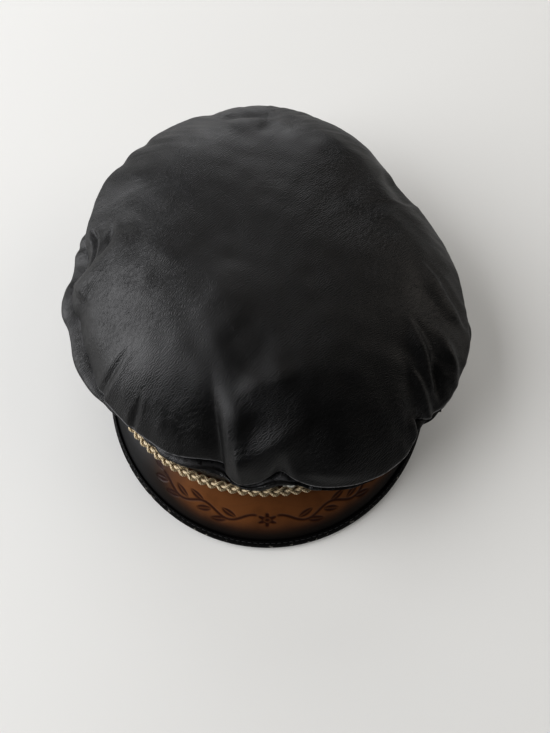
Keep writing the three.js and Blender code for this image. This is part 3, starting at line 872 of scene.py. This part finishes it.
def peak_top(out, along):
    """The upper face of the peak, from its root (0) to its edge (1) and from end to end (-1 to 1)."""
    root, _ = band_plan(np.radians(along * PEAK_ROOT_SWEEP), PIECE_GAP)
    root[..., 2] = band_foot(root[..., 1]) + PEAK_ROOT_LIFT
    turn = along * math.pi / 2
    dip = np.maximum(0, np.cos(turn)) ** PEAK_EDGE_POWER
    edge = np.stack([PEAK_HALF_WIDTH * np.sin(turn), PEAK_END_Y - PEAK_REACH * np.cos(turn),
                     PEAK_END_HEIGHT + (PEAK_FRONT_HEIGHT - PEAK_END_HEIGHT) * dip], -1)
    face = root + (edge - root) * out[..., None]
    face[..., 2] += PEAK_CAMBER * np.sin(math.pi * out)
    return face


peak_face = peak_top(peak_out, peak_along)
edge_line = peak_face[-1]
edge_length = np.concatenate([[0], np.cumsum(np.linalg.norm(np.diff(edge_line, axis=0), axis=1))])
from_edge = np.linalg.norm(peak_face - edge_line, axis=-1)
from_middle = np.abs(peak_face[..., 0] - DYE_MIDDLE) + 0 * from_edge
peak_depth = from_edge[0, peak_along.size // 2]
print("peak edge in mm:", round(edge_length[-1]), "and depth in the middle:", round(peak_depth, 1))

# %% [markdown]
# A running vine is tooled into the brown field: the damp leather is cut along the lines with a swivel
# knife, bevelled with a stamp, and the lines are dyed dark. The pattern is a function of the way along
# the peak and the distance from its edge, so it bends with the peak. It sinks the grid a little and is
# kept as an attribute.

# %% The tooled vine
VINE_FROM_EDGE = 18.5
VINE_SWING = 3.0
VINE_WAVE = 25.0
VINE_END = 58.0
VINE_LINE = 0.8
LEAF_LONG = 4.6
LEAF_WIDE = 2.0
NEAR_LEAF_OFF = 1.61
NEAR_LEAF_TURN = 0.5
FAR_LEAF_ON = 4.5
FAR_LEAF_OFF = 4.6
FAR_LEAF_TURN = 0.35
VEIN_SHARE = 0.65
ROSE_RADIUS = 5.0
ROSE_PETALS = 6
PETAL_SHARE = 0.25
HEART_RADIUS = 1.5


def leaf(way, depth, at, off, turn):
    """1 inside a pointed leaf whose middle lies at a place and a distance from the edge."""
    along = math.cos(turn) * (way - at) + math.sin(turn) * (depth - off)
    across = -math.sin(turn) * (way - at) + math.cos(turn) * (depth - off)
    outline = LEAF_WIDE * np.clip(1 - (along / LEAF_LONG) ** 2, 0, 1)
    vein = smooth_step(np.abs(across), 0.15, 0.6)
    return smooth_step(outline - np.abs(across), -0.3, 0.4) * (1 - VEIN_SHARE + VEIN_SHARE * vein)


def vine(way, depth):
    """How deep the design is tooled, from the way along the peak and the distance from its edge."""
    half = np.abs(way)
    phase = 2 * math.pi * half / VINE_WAVE
    stem = VINE_FROM_EDGE + VINE_SWING * np.sin(phase)
    slope = VINE_SWING * 2 * math.pi / VINE_WAVE * np.cos(phase)
    gap = np.abs(depth - stem) / np.sqrt(1 + slope**2)
    total = smooth_step(VINE_LINE - gap, -0.4, 0.4)
    total = total * smooth_step(VINE_END - half, 0, 3) * smooth_step(half, 4, 6)
    for half_wave in range(1, int(2 * VINE_END / VINE_WAVE) + 1):
        at = (half_wave + 0.5) * VINE_WAVE / 2
        side = 1 if half_wave % 2 else -1
        near = leaf(half, depth, at, VINE_FROM_EDGE + side * NEAR_LEAF_OFF, side * NEAR_LEAF_TURN)
        far = leaf(half, depth, at + FAR_LEAF_ON, VINE_FROM_EDGE - side * FAR_LEAF_OFF,
                   -side * FAR_LEAF_TURN)
        total = np.maximum(total, np.maximum(near, far))
    spoke = np.hypot(way, depth - VINE_FROM_EDGE)
    petals = np.cos(ROSE_PETALS * np.arctan2(way, depth - VINE_FROM_EDGE))
    rose = smooth_step(ROSE_RADIUS * (1 - PETAL_SHARE + PETAL_SHARE * petals) - spoke, -0.3, 0.5)
    heart = smooth_step(np.abs(spoke - HEART_RADIUS), 0.2, 0.6)
    return np.maximum(total, rose * (1 - VEIN_SHARE + VEIN_SHARE * heart))


middle_way = edge_length - edge_length[-1] / 2
way_along = middle_way * BAND_FRONT / (PEAK_REACH - PEAK_END_Y) + 0 * from_edge
tooled = vine(way_along, from_edge)
print("tooled share of the peak:", round(tooled.mean(), 3))

# %% [markdown]
# The plate's two faces lie one leather apart. At the root they are upright over each other, inside the
# band, and towards the edge they turn square to the camber. The upper face carries the dye's two
# distances and the design.

# %% The peak's wall
TOOL_DEPTH = 0.3
peak_up = grid_normals(peak_face, ring=False)
upright = np.array([0, 0, 1])
peak_through = unit(upright + (peak_up - upright) * peak_out[..., None])
peak_upper = peak_face - TOOL_DEPTH * tooled[..., None] * peak_through
peak_lower = peak_face - PEAK_THICKNESS * peak_through
peak = leather_wall("peak_leather", peak_upper, peak_lower, peak_leather, ring=False)
for measure, values in (("from_edge", from_edge), ("from_middle", from_middle), ("tooled", tooled)):
    add_measure(peak, measure, values)
belongs(peak, "peak_leather", "peak")

# %% [markdown]
# ## The binding of the peak
# A strip of black leather is folded over the peak's raw edge and sewn through. Its section is a long clip
# with a round nose, thinner towards the ends of the peak. It is swept along the edge as a closed tube of
# sections.


# %% Sweeping a section
def swept_body(name, sections, material):
    """A closed body through sections, each a loop of points in millimetres, with its two ends filled."""
    stations, count = sections.shape[:2]
    index = np.arange(stations * count).reshape(stations, count)
    turned = np.concatenate([index, index[:, :1]], 1)
    sides = np.stack([turned[:-1, :-1], turned[:-1, 1:], turned[1:, 1:], turned[1:, :-1]], -1)
    faces = sides.reshape(-1, 4).tolist() + [index[0, ::-1].tolist(), index[-1].tolist()]
    mesh = bpy.data.meshes.new(name)
    mesh.from_pydata(in_scene(sections.reshape(-1, 3)).tolist(), [], faces)
    print(name, "faces:", len(faces))
    return link_piece(name, mesh, material)

# %% [markdown]
# The section is drawn round the middle of the peak's edge: two lips with soft rims, the nose between them
# and the slot that holds the peak. Stations along the edge give each section its place, its directions
# and how far it covers the peak. The nose is where the binding gets scuffed.

# %% The binding's sections
BINDING_COVER = 3.4
BINDING_END_COVER = 1.8
BINDING_TAPER = 8
BINDING_LEATHER = 0.9
BINDING_NOSE = 2.6
NOSE_WORN = slice(5, 12)
slot = PEAK_THICKNESS / 2 + PIECE_GAP
outside = slot + BINDING_LEATHER
nose_turn = np.linspace(math.pi / 2, -math.pi / 2, 13)


def binding_section(cover):
    """Out and up of the binding's section round the middle of the peak's edge."""
    lip = [(-cover + 0.25, slot + 0.1), (-cover, slot + 0.45), (-cover + 0.3, outside - 0.12)]
    upper = lip + [(-cover + 1.0, outside), (-cover * 0.5, outside + 0.12)]
    nose = [(BINDING_NOSE * math.cos(t), outside * math.sin(t)) for t in nose_turn]
    lower = [(out, -up) for out, up in reversed(upper)]
    inside = [(-cover * 0.5, -slot), (PIECE_GAP, -slot), (PIECE_GAP, slot), (-cover * 0.5, slot)]
    return np.array(upper + nose + lower + inside)


stations = np.linspace(-1, 1, 241)
station_edge = peak_top(np.array([[1.0]]), stations[None, :])[0]
station_inner = peak_top(np.array([[0.83]]), stations[None, :])[0]
station_rows = peak_top(np.array([[0.98], [0.99], [1.0]]), stations[None, :])
station_up = grid_normals(station_rows, ring=False)[-1]
station_out = unit(station_edge - station_inner)
station_cover = BINDING_COVER + (BINDING_END_COVER - BINDING_COVER) * stations**BINDING_TAPER
station_middle = station_edge - PEAK_THICKNESS / 2 * station_up
sections = []
for middle, out, up, cover in zip(station_middle, station_out, station_up, station_cover):
    loop = binding_section(cover)
    sections.append(middle + loop[:, :1] * out + loop[:, 1:] * up)
sections = np.array(sections)
binding = belongs(swept_body("peak_binding_leather", sections, edge_leather),
                  "black_leather", "peak_binding")
nose_wear = np.zeros(sections.shape[:2])
nose_wear[:, NOSE_WORN] = 1
add_measure(binding, "rubbed_edge_and_highlight", nose_wear)

# %% [markdown]
# ## Node trees that follow a path
# Stitches, cords and beads all repeat along a line. Geometry Nodes lay them out: a polyline of vertices
# goes in, a tree turns it into a curve and puts the repeated shape on it, and the realized result is kept
# as a plain mesh. The tree's sizes are named inputs, so one tree serves every seam.


# %% Growing a mesh along a path
def node_tree(name, sizes):
    """An empty geometry tree with named sizes and a material; gives the tree, its inputs and its output."""
    tree = bpy.data.node_groups.new(name, "GeometryNodeTree")
    tree.interface.new_socket("Geometry", in_out="INPUT", socket_type="NodeSocketGeometry")
    for size in sizes:
        tree.interface.new_socket(size, in_out="INPUT", socket_type="NodeSocketFloat")
    tree.interface.new_socket("Material", in_out="INPUT", socket_type="NodeSocketMaterial")
    tree.interface.new_socket("Geometry", in_out="OUTPUT", socket_type="NodeSocketGeometry")
    return tree, add(tree, "NodeGroupInput").outputs, add(tree, "NodeGroupOutput").inputs["Geometry"]


def end_tree(tree, geometry, material, output):
    """Realizes what a tree made, gives it its material and sends it out."""
    whole = add(tree, "GeometryNodeRealizeInstances", {"Geometry": geometry}).outputs["Geometry"]
    smooth = add(tree, "GeometryNodeSetShadeSmooth", {"Geometry": whole}).outputs["Geometry"]
    coated = add(tree, "GeometryNodeSetMaterial", {"Geometry": smooth, "Material": material})
    tree.links.new(coated.outputs["Geometry"], output)


def grown_on_paths(name, tree, paths, material, **sizes):
    """Runs a tree on polylines in millimetres and keeps the result as a plain mesh object."""
    points = np.concatenate(paths)
    ends = np.cumsum([len(path) for path in paths])
    edges = [(i, i + 1) for i in range(len(points) - 1) if i + 1 not in ends]
    lines = bpy.data.meshes.new(name + "_path")
    lines.from_pydata(in_scene(points).tolist(), edges, [])
    carrier = bpy.data.objects.new(name + "_path", lines)
    bpy.context.scene.collection.objects.link(carrier)
    modifier = carrier.modifiers.new(tree.name, "NODES")
    modifier.node_group = tree
    sockets = {s.name: s.identifier for s in tree.interface.items_tree if s.in_out == "INPUT"}
    for size, value in sizes.items():
        modifier[sockets[size]] = value * MM
    modifier[sockets["Material"]] = material
    evaluated = carrier.evaluated_get(bpy.context.evaluated_depsgraph_get())
    mesh = bpy.data.meshes.new_from_object(evaluated)
    mesh.name = name
    for index in reversed(range(len(mesh.materials))):
        if mesh.materials[index] is None:
            mesh.materials.pop(index=index)
    bpy.data.objects.remove(carrier)
    piece = bpy.data.objects.new(name, mesh)
    bpy.context.scene.collection.objects.link(piece)
    print(name, "faces:", len(mesh.polygons))
    return piece

# %% [markdown]
# A stitch is a short rounded bar, pulled a little into the leather at both ends. A stretched sphere of
# few faces is enough for it. The tree spaces points along the path by the pitch and lays a stitch along
# each.


# %% The stitches' tree
def stitch_tree():
    """Short rounded stitches, one for each pitch along the paths."""
    tree, inputs, output = node_tree("stitch_row", ["pitch", "length", "thickness"])
    path = add(tree, "GeometryNodeMeshToCurve", {"Mesh": inputs["Geometry"]}).outputs["Curve"]
    spaced = add(tree, "GeometryNodeResampleCurve", {"Curve": path, "Length": inputs["pitch"]},
                 mode="LENGTH")
    stitch = add(tree, "GeometryNodeMeshUVSphere", {"Segments": 8, "Rings": 6, "Radius": 0.5})
    direction = add(tree, "GeometryNodeInputTangent").outputs["Tangent"]
    turned = add(tree, "FunctionNodeAlignRotationToVector", {"Vector": direction}, axis="X")
    shape = add(tree, "ShaderNodeCombineXYZ", {"X": inputs["length"], "Y": inputs["thickness"],
                                               "Z": inputs["thickness"]})
    row = add(tree, "GeometryNodeInstanceOnPoints",
              {"Points": spaced.outputs["Curve"], "Instance": stitch.outputs["Mesh"],
               "Rotation": turned.outputs["Rotation"], "Scale": shape.outputs["Vector"]})
    end_tree(tree, row.outputs["Instances"], inputs["Material"], output)
    return tree


stitch_row = stitch_tree()
print("tree of the stitches:", len(stitch_row.nodes), "nodes")

# %% [markdown]
# ## Finish: waxed thread
# The seams are sewn with black waxed thread, a little shinier than the leather and almost the same
# colour, so it shows as small glints. Fine ply lines along the thread are too small to draw.

# %% Waxed thread
THREAD_MM = 0.8
thread, thread_tree, thread_shader = new_finish("waxed_thread", Roughness=0.42)
thread_place = add(thread_tree, "ShaderNodeTexCoord").outputs["Object"]
fuzz = add(thread_tree, "ShaderNodeTexNoise", {"Vector": thread_place, "Scale": per_mm(THREAD_MM)})
thread_tone = add(thread_tree, "ShaderNodeMix",
                  {0: fuzz.outputs["Fac"], 6: linear("#161617"), 7: linear("#333336")}, data_type="RGBA")
thread_tree.links.new(thread_tone.outputs[2], thread_shader.inputs["Base Color"])
print("thread finish:", thread.name)

# %% [markdown]
# Three seams show: one along both sides of the binding, one round the top of the band, and a double row
# beside the upright seam at the back of the side wall. Each path follows the face that it is sewn
# through.

# %% The seams
STITCH = {"pitch": 3.6, "length": 2.7, "thickness": 0.55}
SEAM_IN = 1.2
SEAM_PROUD = 0.05
BAND_SEAM_UP = 3.2
BACK_SEAM_COLUMN = 3
BACK_SEAM_PROUD = 0.1


def sewn_row(name, paths):
    """Rows of stitches along paths, kept with the cap."""
    return belongs(grown_on_paths(name, stitch_row, paths, thread, **STITCH), "black_leather")


sewn = np.abs(stations) < 0.97
seam_middle = station_middle + (-station_cover + SEAM_IN)[:, None] * station_out
binding_seams = [(seam_middle + side * (outside + SEAM_PROUD) * station_up)[sewn] for side in (1, -1)]
sewn_row("binding_stitches", binding_seams)

seam_angle = np.linspace(-math.pi, math.pi, 721)
seam_out = BAND_CROWNING * math.sin(math.pi * BAND_SEAM_UP / BAND_HEIGHT) + SEAM_PROUD
top_seam, _ = band_plan(seam_angle, seam_out)
top_seam[:, 2] = band_top(top_seam[:, 1]) - BAND_SEAM_UP
sewn_row("band_stitches", [top_seam])

side_proud = side_outer + BACK_SEAM_PROUD * grid_normals(side_outer, ring=True)
back_seams = [side_proud[5:-2, column] for column in (BACK_SEAM_COLUMN, -BACK_SEAM_COLUMN)]
sewn_row("side_seam_stitches", back_seams)

# %% [markdown]
# ## Finish: cream cord
# The cords are twisted from cream rayon, which has a silky sheen, and they have yellowed to a pale gold.
# The twist is geometry; the material paints shade into the grooves between the plies, by an attribute
# that the cord's tree stores for each point of the section.

# %% Silky cord
cord_finish, cord_nodes, cord_shader = new_finish("twisted_rayon_cord", Roughness=0.42, Sheen_Weight=0.25,
                                                  Sheen_Roughness=0.4)
ply = add(cord_nodes, "ShaderNodeAttribute", attribute_name="ply").outputs["Fac"]
ply_share = add(cord_nodes, "ShaderNodeMapRange", {"Value": ply, "From Min": -1.0, "From Max": 1.0})
# Painted shade: the grooves between the plies take the darker colour, the crests the paler one.
cord_tone_and_groove_shade = add(cord_nodes, "ShaderNodeValToRGB", {"Fac": ply_share.outputs["Result"]})
cord_tone_and_groove_shade.color_ramp.elements[0].color = linear("#9a8560")
cord_tone_and_groove_shade.color_ramp.elements[1].color = linear("#d9ccb2")
cord_nodes.links.new(cord_tone_and_groove_shade.outputs["Color"], cord_shader.inputs["Base Color"])
print("cord finish:", cord_finish.name)

# %% [markdown]
# ## The plait
# Three cords are plaited flat along the foot of the band, and each cord is itself twisted from three
# plies. A round cord could carry its plies as a bump, but the twist shows in its outline, so a node tree
# sweeps a three-lobed section along the path and tilts it once for each pitch.

# %% The cord's tree
STRAND_RADIUS = 0.96
PLIES = 3
PLY_PITCH = 3.6
PLY_DEPTH = 0.12


def cord_tree():
    """A cord of three plies, twisted once for each pitch along its path."""
    tree, inputs, output = node_tree("twisted_cord", ["radius", "pitch"])
    path = add(tree, "GeometryNodeMeshToCurve", {"Mesh": inputs["Geometry"]}).outputs["Curve"]
    length = add(tree, "GeometryNodeSplineParameter").outputs["Length"]
    turns = add(tree, "ShaderNodeMath", {0: length, 1: inputs["pitch"]}, operation="DIVIDE")
    twist = add(tree, "ShaderNodeMath", {0: turns.outputs["Value"], 1: 2 * math.pi}, operation="MULTIPLY")
    twisted = add(tree, "GeometryNodeSetCurveTilt", {"Curve": path, "Tilt": twist.outputs["Value"]})
    circle = add(tree, "GeometryNodeCurvePrimitiveCircle", {"Resolution": 18, "Radius": inputs["radius"]})
    spot = add(tree, "GeometryNodeInputPosition").outputs["Position"]
    parts = add(tree, "ShaderNodeSeparateXYZ", {"Vector": spot}).outputs
    turn = add(tree, "ShaderNodeMath", {0: parts["Y"], 1: parts["X"]}, operation="ARCTAN2")
    plied = add(tree, "ShaderNodeMath", {0: turn.outputs["Value"], 1: float(PLIES)}, operation="MULTIPLY")
    lobes = add(tree, "ShaderNodeMath", {0: plied.outputs["Value"]}, operation="COSINE").outputs["Value"]
    marked = add(tree, "GeometryNodeStoreNamedAttribute",
                 {"Geometry": circle.outputs["Curve"], "Name": "ply", "Value": lobes},
                 data_type="FLOAT", domain="POINT")
    share = add(tree, "ShaderNodeMath", {0: lobes, 1: PLY_DEPTH, 2: 1 - PLY_DEPTH / 2},
                operation="MULTIPLY_ADD")
    lobed = add(tree, "ShaderNodeVectorMath", {0: spot, "Scale": share.outputs["Value"]}, operation="SCALE")
    section = add(tree, "GeometryNodeSetPosition",
                  {"Geometry": marked.outputs["Geometry"], "Position": lobed.outputs["Vector"]})
    body = add(tree, "GeometryNodeCurveToMesh",
               {"Curve": twisted.outputs["Curve"], "Profile Curve": section.outputs["Geometry"],
                "Fill Caps": True})
    end_tree(tree, body.outputs["Mesh"], inputs["Material"], output)
    return tree


twisted_cord = cord_tree()
print("tree of the cord:", len(twisted_cord.nodes), "nodes")

# %% [markdown]
# Each cord swings from side to side a third of a period behind the last, and rises and dips twice as
# often, so that it passes over one cord and under the next. The plait leans in the corner between the
# band and the peak.

# %% Three plaited cords
STRANDS = 3
PLAIT_SWEEP = 84.6
PLAIT_PERIODS = 16
PLAIT_START = math.pi / 6
PLAIT_SWING = 2.1
PLAIT_RISE = 1.5
PLAIT_LEAN = math.radians(40)
PLAIT_OFF_BAND = 3.75
PLAIT_OVER_ROOT = 3.0
plait_way = np.linspace(0, 1, 901)


def plait_path(strand):
    """The way of one cord of the plait."""
    phase = 2 * math.pi * (PLAIT_PERIODS * plait_way + strand / STRANDS) + PLAIT_START
    swing = PLAIT_SWING * np.sin(phase)
    rise = PLAIT_RISE * np.sin(2 * phase)
    up = math.cos(PLAIT_LEAN) * swing + math.sin(PLAIT_LEAN) * rise
    out = -math.sin(PLAIT_LEAN) * swing + math.cos(PLAIT_LEAN) * rise
    middle, outward = band_plan(np.radians(PLAIT_SWEEP * (2 * plait_way - 1)), PLAIT_OFF_BAND)
    path = middle + out[:, None] * outward
    path[:, 2] = band_foot(middle[:, 1]) + PEAK_ROOT_LIFT + PLAIT_OVER_ROOT + up
    return path


for strand in range(STRANDS):
    node = f"braid_strand_{strand + 1}"
    cord = grown_on_paths(f"{node}_cord", twisted_cord, [plait_path(strand)], cord_finish,
                          radius=STRAND_RADIUS, pitch=PLY_PITCH)
    belongs(cord, "cream_cord", node)

# %% [markdown]
# ## The buttons
# A leather-covered button holds each end of the plait. It is a turned shape: a profile is carried round
# an axis that points out of the band. Spin would do the same, but a ring of points for each step of the
# profile closes both poles at once.


# %% Turned studs
def turned_stud(name, profile, angle_degrees, over_foot, material, sides=40):
    """A body of revolution on the band; its profile of radius and height starts and ends on the axis."""
    foot, outward = band_plan(np.array(math.radians(angle_degrees)), PIECE_GAP)
    foot = foot + np.array([0, 0, band_foot(foot[1]) + over_foot])
    side = unit(np.cross([0, 0, 1], outward))
    turns = np.linspace(0, 2 * math.pi, sides, endpoint=False)
    spokes = np.cos(turns)[:, None] * side + np.sin(turns)[:, None] * np.array([0, 0, 1])
    rings = [foot + r * spokes + h * outward for r, h in profile[1:-1]]
    points = np.concatenate([[foot + profile[0][1] * outward], *rings, [foot + profile[-1][1] * outward]])
    faces = []
    for j in range(sides):
        k = (j + 1) % sides
        faces.append([0, 1 + k, 1 + j])
        for ring in range(len(rings) - 1):
            here, above = 1 + ring * sides, 1 + (ring + 1) * sides
            faces.append([here + j, here + k, above + k, above + j])
        top = 1 + (len(rings) - 1) * sides
        faces.append([top + j, top + k, len(points) - 1])
    mesh = bpy.data.meshes.new(name)
    mesh.from_pydata(in_scene(points).tolist(), [], faces)
    print(name, "faces:", len(faces))
    return link_piece(name, mesh, material), foot, outward, spokes


BUTTON_AT = 89
BUTTON_PROFILE = [(0, 0), (5.6, 0), (6.2, 0.3), (6.5, 1.1), (6.5, 2.4), (6.3, 3.0), (5.8, 3.6), (4.9, 4.2),
                  (3.6, 4.7), (2.0, 5.05), (0.8, 5.18), (0, 5.2)]
for side, sign in (("left", 1), ("right", -1)):
    button, *_ = turned_stud(f"side_button_{side}_leather", BUTTON_PROFILE, sign * BUTTON_AT,
                             PEAK_ROOT_LIFT + PLAIT_OVER_ROOT, band_leather)
    belongs(button, "black_leather", f"side_button_{side}")

# %% [markdown]
# ## Finish: worn silver
# The pin is cast base metal with a silver-coloured plating that has dulled in its hollows. The eye gets a
# bright metal with darker, softer spots, so one noise drives both its colour and its roughness.

# %% Worn silver
TARNISH_MM = 1.5
silver, silver_nodes, silver_shader = new_finish("worn_silver_plate", Metallic=1.0)
silver_place = add(silver_nodes, "ShaderNodeTexCoord").outputs["Object"]
tarnish = add(silver_nodes, "ShaderNodeTexNoise",
              {"Vector": silver_place, "Scale": per_mm(TARNISH_MM), "Detail": 4.0}).outputs["Fac"]
silver_tone = add(silver_nodes, "ShaderNodeMix", {0: tarnish, 6: linear("#8f8f8a"), 7: linear("#dcdcd6")},
                  data_type="RGBA")
silver_rough = add(silver_nodes, "ShaderNodeMapRange", {"Value": tarnish, "To Min": 0.4, "To Max": 0.2})
silver_nodes.links.new(silver_tone.outputs[2], silver_shader.inputs["Base Color"])
silver_nodes.links.new(silver_rough.outputs["Result"], silver_shader.inputs["Roughness"])
print("pin finish:", silver.name)

# %% [markdown]
# ## The pin
# A small round stud sits on the front of the band, almost hidden under the crown. It is turned like the
# buttons, and a ring of beads lies in the groove round its dome. Another node tree sets the beads along
# the ring.

# %% The pin and its beads
PIN_AT = 8
PIN_OVER_FOOT = 16.4
PIN_PROFILE = [(0, 0), (4.9, 0), (5.15, 0.25), (5.15, 1.2), (4.9, 1.5), (3.9, 1.5), (3.5, 1.3), (3.2, 1.5),
               (2.8, 2.3), (2.0, 2.95), (1.0, 3.3), (0, 3.4)]
BEAD_RING = 4.4
BEAD_OUT = 1.5
BEAD = {"pitch": 1.38, "radius": 0.55}


def bead_tree():
    """Round beads, one for each pitch along the paths."""
    tree, inputs, output = node_tree("bead_row", ["pitch", "radius"])
    path = add(tree, "GeometryNodeMeshToCurve", {"Mesh": inputs["Geometry"]}).outputs["Curve"]
    spaced = add(tree, "GeometryNodeResampleCurve", {"Curve": path, "Length": inputs["pitch"]},
                 mode="LENGTH")
    bead = add(tree, "GeometryNodeMeshIcoSphere", {"Radius": inputs["radius"], "Subdivisions": 2})
    row = add(tree, "GeometryNodeInstanceOnPoints",
              {"Points": spaced.outputs["Curve"], "Instance": bead.outputs["Mesh"]})
    end_tree(tree, row.outputs["Instances"], inputs["Material"], output)
    return tree


pin, pin_foot, pin_axis, pin_spokes = turned_stud("front_pin_silver", PIN_PROFILE, PIN_AT, PIN_OVER_FOOT,
                                                  silver)
belongs(pin, "silver_metal", "front_pin")
bead_path = pin_foot + BEAD_RING * np.concatenate([pin_spokes, pin_spokes[:1]]) + BEAD_OUT * pin_axis
pin_beads = grown_on_paths("front_pin_beads", bead_tree(), [bead_path], silver, **BEAD)
belongs(pin_beads, "silver_metal")

# %% [markdown]
# ## The stage
# The cap lies on a plain sheet of matt paper. The paper glows very faintly, which stands for the light
# that a bright room throws back into the shadows; without it the shadow beside the cap would be too deep.

# %% The floor
FLOOR_RADIUS = 1.2
FLOOR_SIDES = 96
FLOOR_GLOW = 0.1
floor_turns = np.linspace(0, 2 * math.pi, FLOOR_SIDES, endpoint=False)
floor_edge = FLOOR_RADIUS * np.stack([np.cos(floor_turns), np.sin(floor_turns), 0 * floor_turns], -1)
floor_mesh = bpy.data.meshes.new("floor")
floor_mesh.from_pydata(floor_edge.tolist(), [], [list(range(FLOOR_SIDES))])
floor_finish, _, _ = new_finish("matt_paper", Base_Color=linear("#c4c4c2"), Roughness=0.9,
                                Emission_Color=linear("#f4f4f2"), Emission_Strength=FLOOR_GLOW)
floor = link_piece("floor", floor_mesh, floor_finish)
print("floor radius in m:", FLOOR_RADIUS)

# %% [markdown]
# Black leather shows little but reflections, so the lamps shape it. A large window stands beside the
# wearer's right, with a weaker one behind, a faint fill from the other side and a little light from the
# ceiling. The front of the crown looks into a dim room, so the world lights it only faintly, while the
# camera sees a paler room past the floor's edge. A look with high contrast keeps the blacks deep.

# %% Lamps and room
Lamp = namedtuple("Lamp", "name place aim size power colour")
LAMPS = [
    Lamp("window", (-2.0, 0.0, 1.25), (0, 0, 0.05), 2.6, 82, "#fdfdff"),
    Lamp("back_window", (-0.3, 2.4, 0.8), (0, 0, 0.05), 1.8, 22, "#fdfdff"),
    Lamp("room_fill", (2.1, 0.6, 1.2), (0, 0, 0.05), 1.8, 13, "#fff8f0"),
    Lamp("ceiling", (0.3, 1.0, 2.4), (0, 0, 0.05), 2.0, 7, "#fff8f0"),
]
ROOM_COLOUR = "#e8eaec"
ROOM_LIGHT = 0.06
ROOM_SEEN = 0.75
for lamp in LAMPS:
    light = bpy.data.lights.new(lamp.name, "AREA")
    light.size = lamp.size
    light.energy = lamp.power
    light.color = linear(lamp.colour)[:3]
    holder = bpy.data.objects.new(lamp.name, light)
    holder.location = lamp.place
    holder.rotation_euler = (Vector(lamp.aim) - Vector(lamp.place)).to_track_quat("-Z", "Y").to_euler()
    bpy.context.scene.collection.objects.link(holder)

world = bpy.data.worlds.new("pale_room")
world.use_nodes = True
room = world.node_tree
room_light = room.nodes["Background"]
room_light.inputs["Color"].default_value = linear(ROOM_COLOUR)
room_light.inputs["Strength"].default_value = ROOM_LIGHT
room_seen = add(room, "ShaderNodeBackground", {"Color": linear(ROOM_COLOUR), "Strength": ROOM_SEEN})
by_camera = add(room, "ShaderNodeLightPath").outputs["Is Camera Ray"]
both = add(room, "ShaderNodeMixShader", {0: by_camera, 1: room_light.outputs["Background"],
                                         2: room_seen.outputs["Background"]})
room.links.new(both.outputs["Shader"], room.nodes["World Output"].inputs["Surface"])
bpy.context.scene.world = world
bpy.context.scene.view_settings.view_transform = "Standard"
bpy.context.scene.view_settings.look = "High Contrast"
print("lamps:", [lamp.name for lamp in LAMPS])

# %% [markdown]
# The camera stands above the front of the cap and looks steeply down, as the picture of the cap was
# taken. Its focal length was found in pixels of an upright picture, whose height takes up the sensor's
# width.

# %% The camera
IMAGE_HEIGHT = 733
FOCAL_PX = 660
CAMERA_MM = (4.5, -145.0, 418.0)
CAMERA_TILT = 18
camera = bpy.data.objects.new("camera", bpy.data.cameras.new("camera"))
camera.data.sensor_width = 36
camera.data.lens = FOCAL_PX * camera.data.sensor_width / IMAGE_HEIGHT
camera.location = in_scene(CAMERA_MM)
camera.rotation_euler = (math.radians(CAMERA_TILT), 0, 0)
bpy.context.scene.collection.objects.link(camera)
bpy.context.scene.camera = camera
print("lens in mm:", round(camera.data.lens, 1))
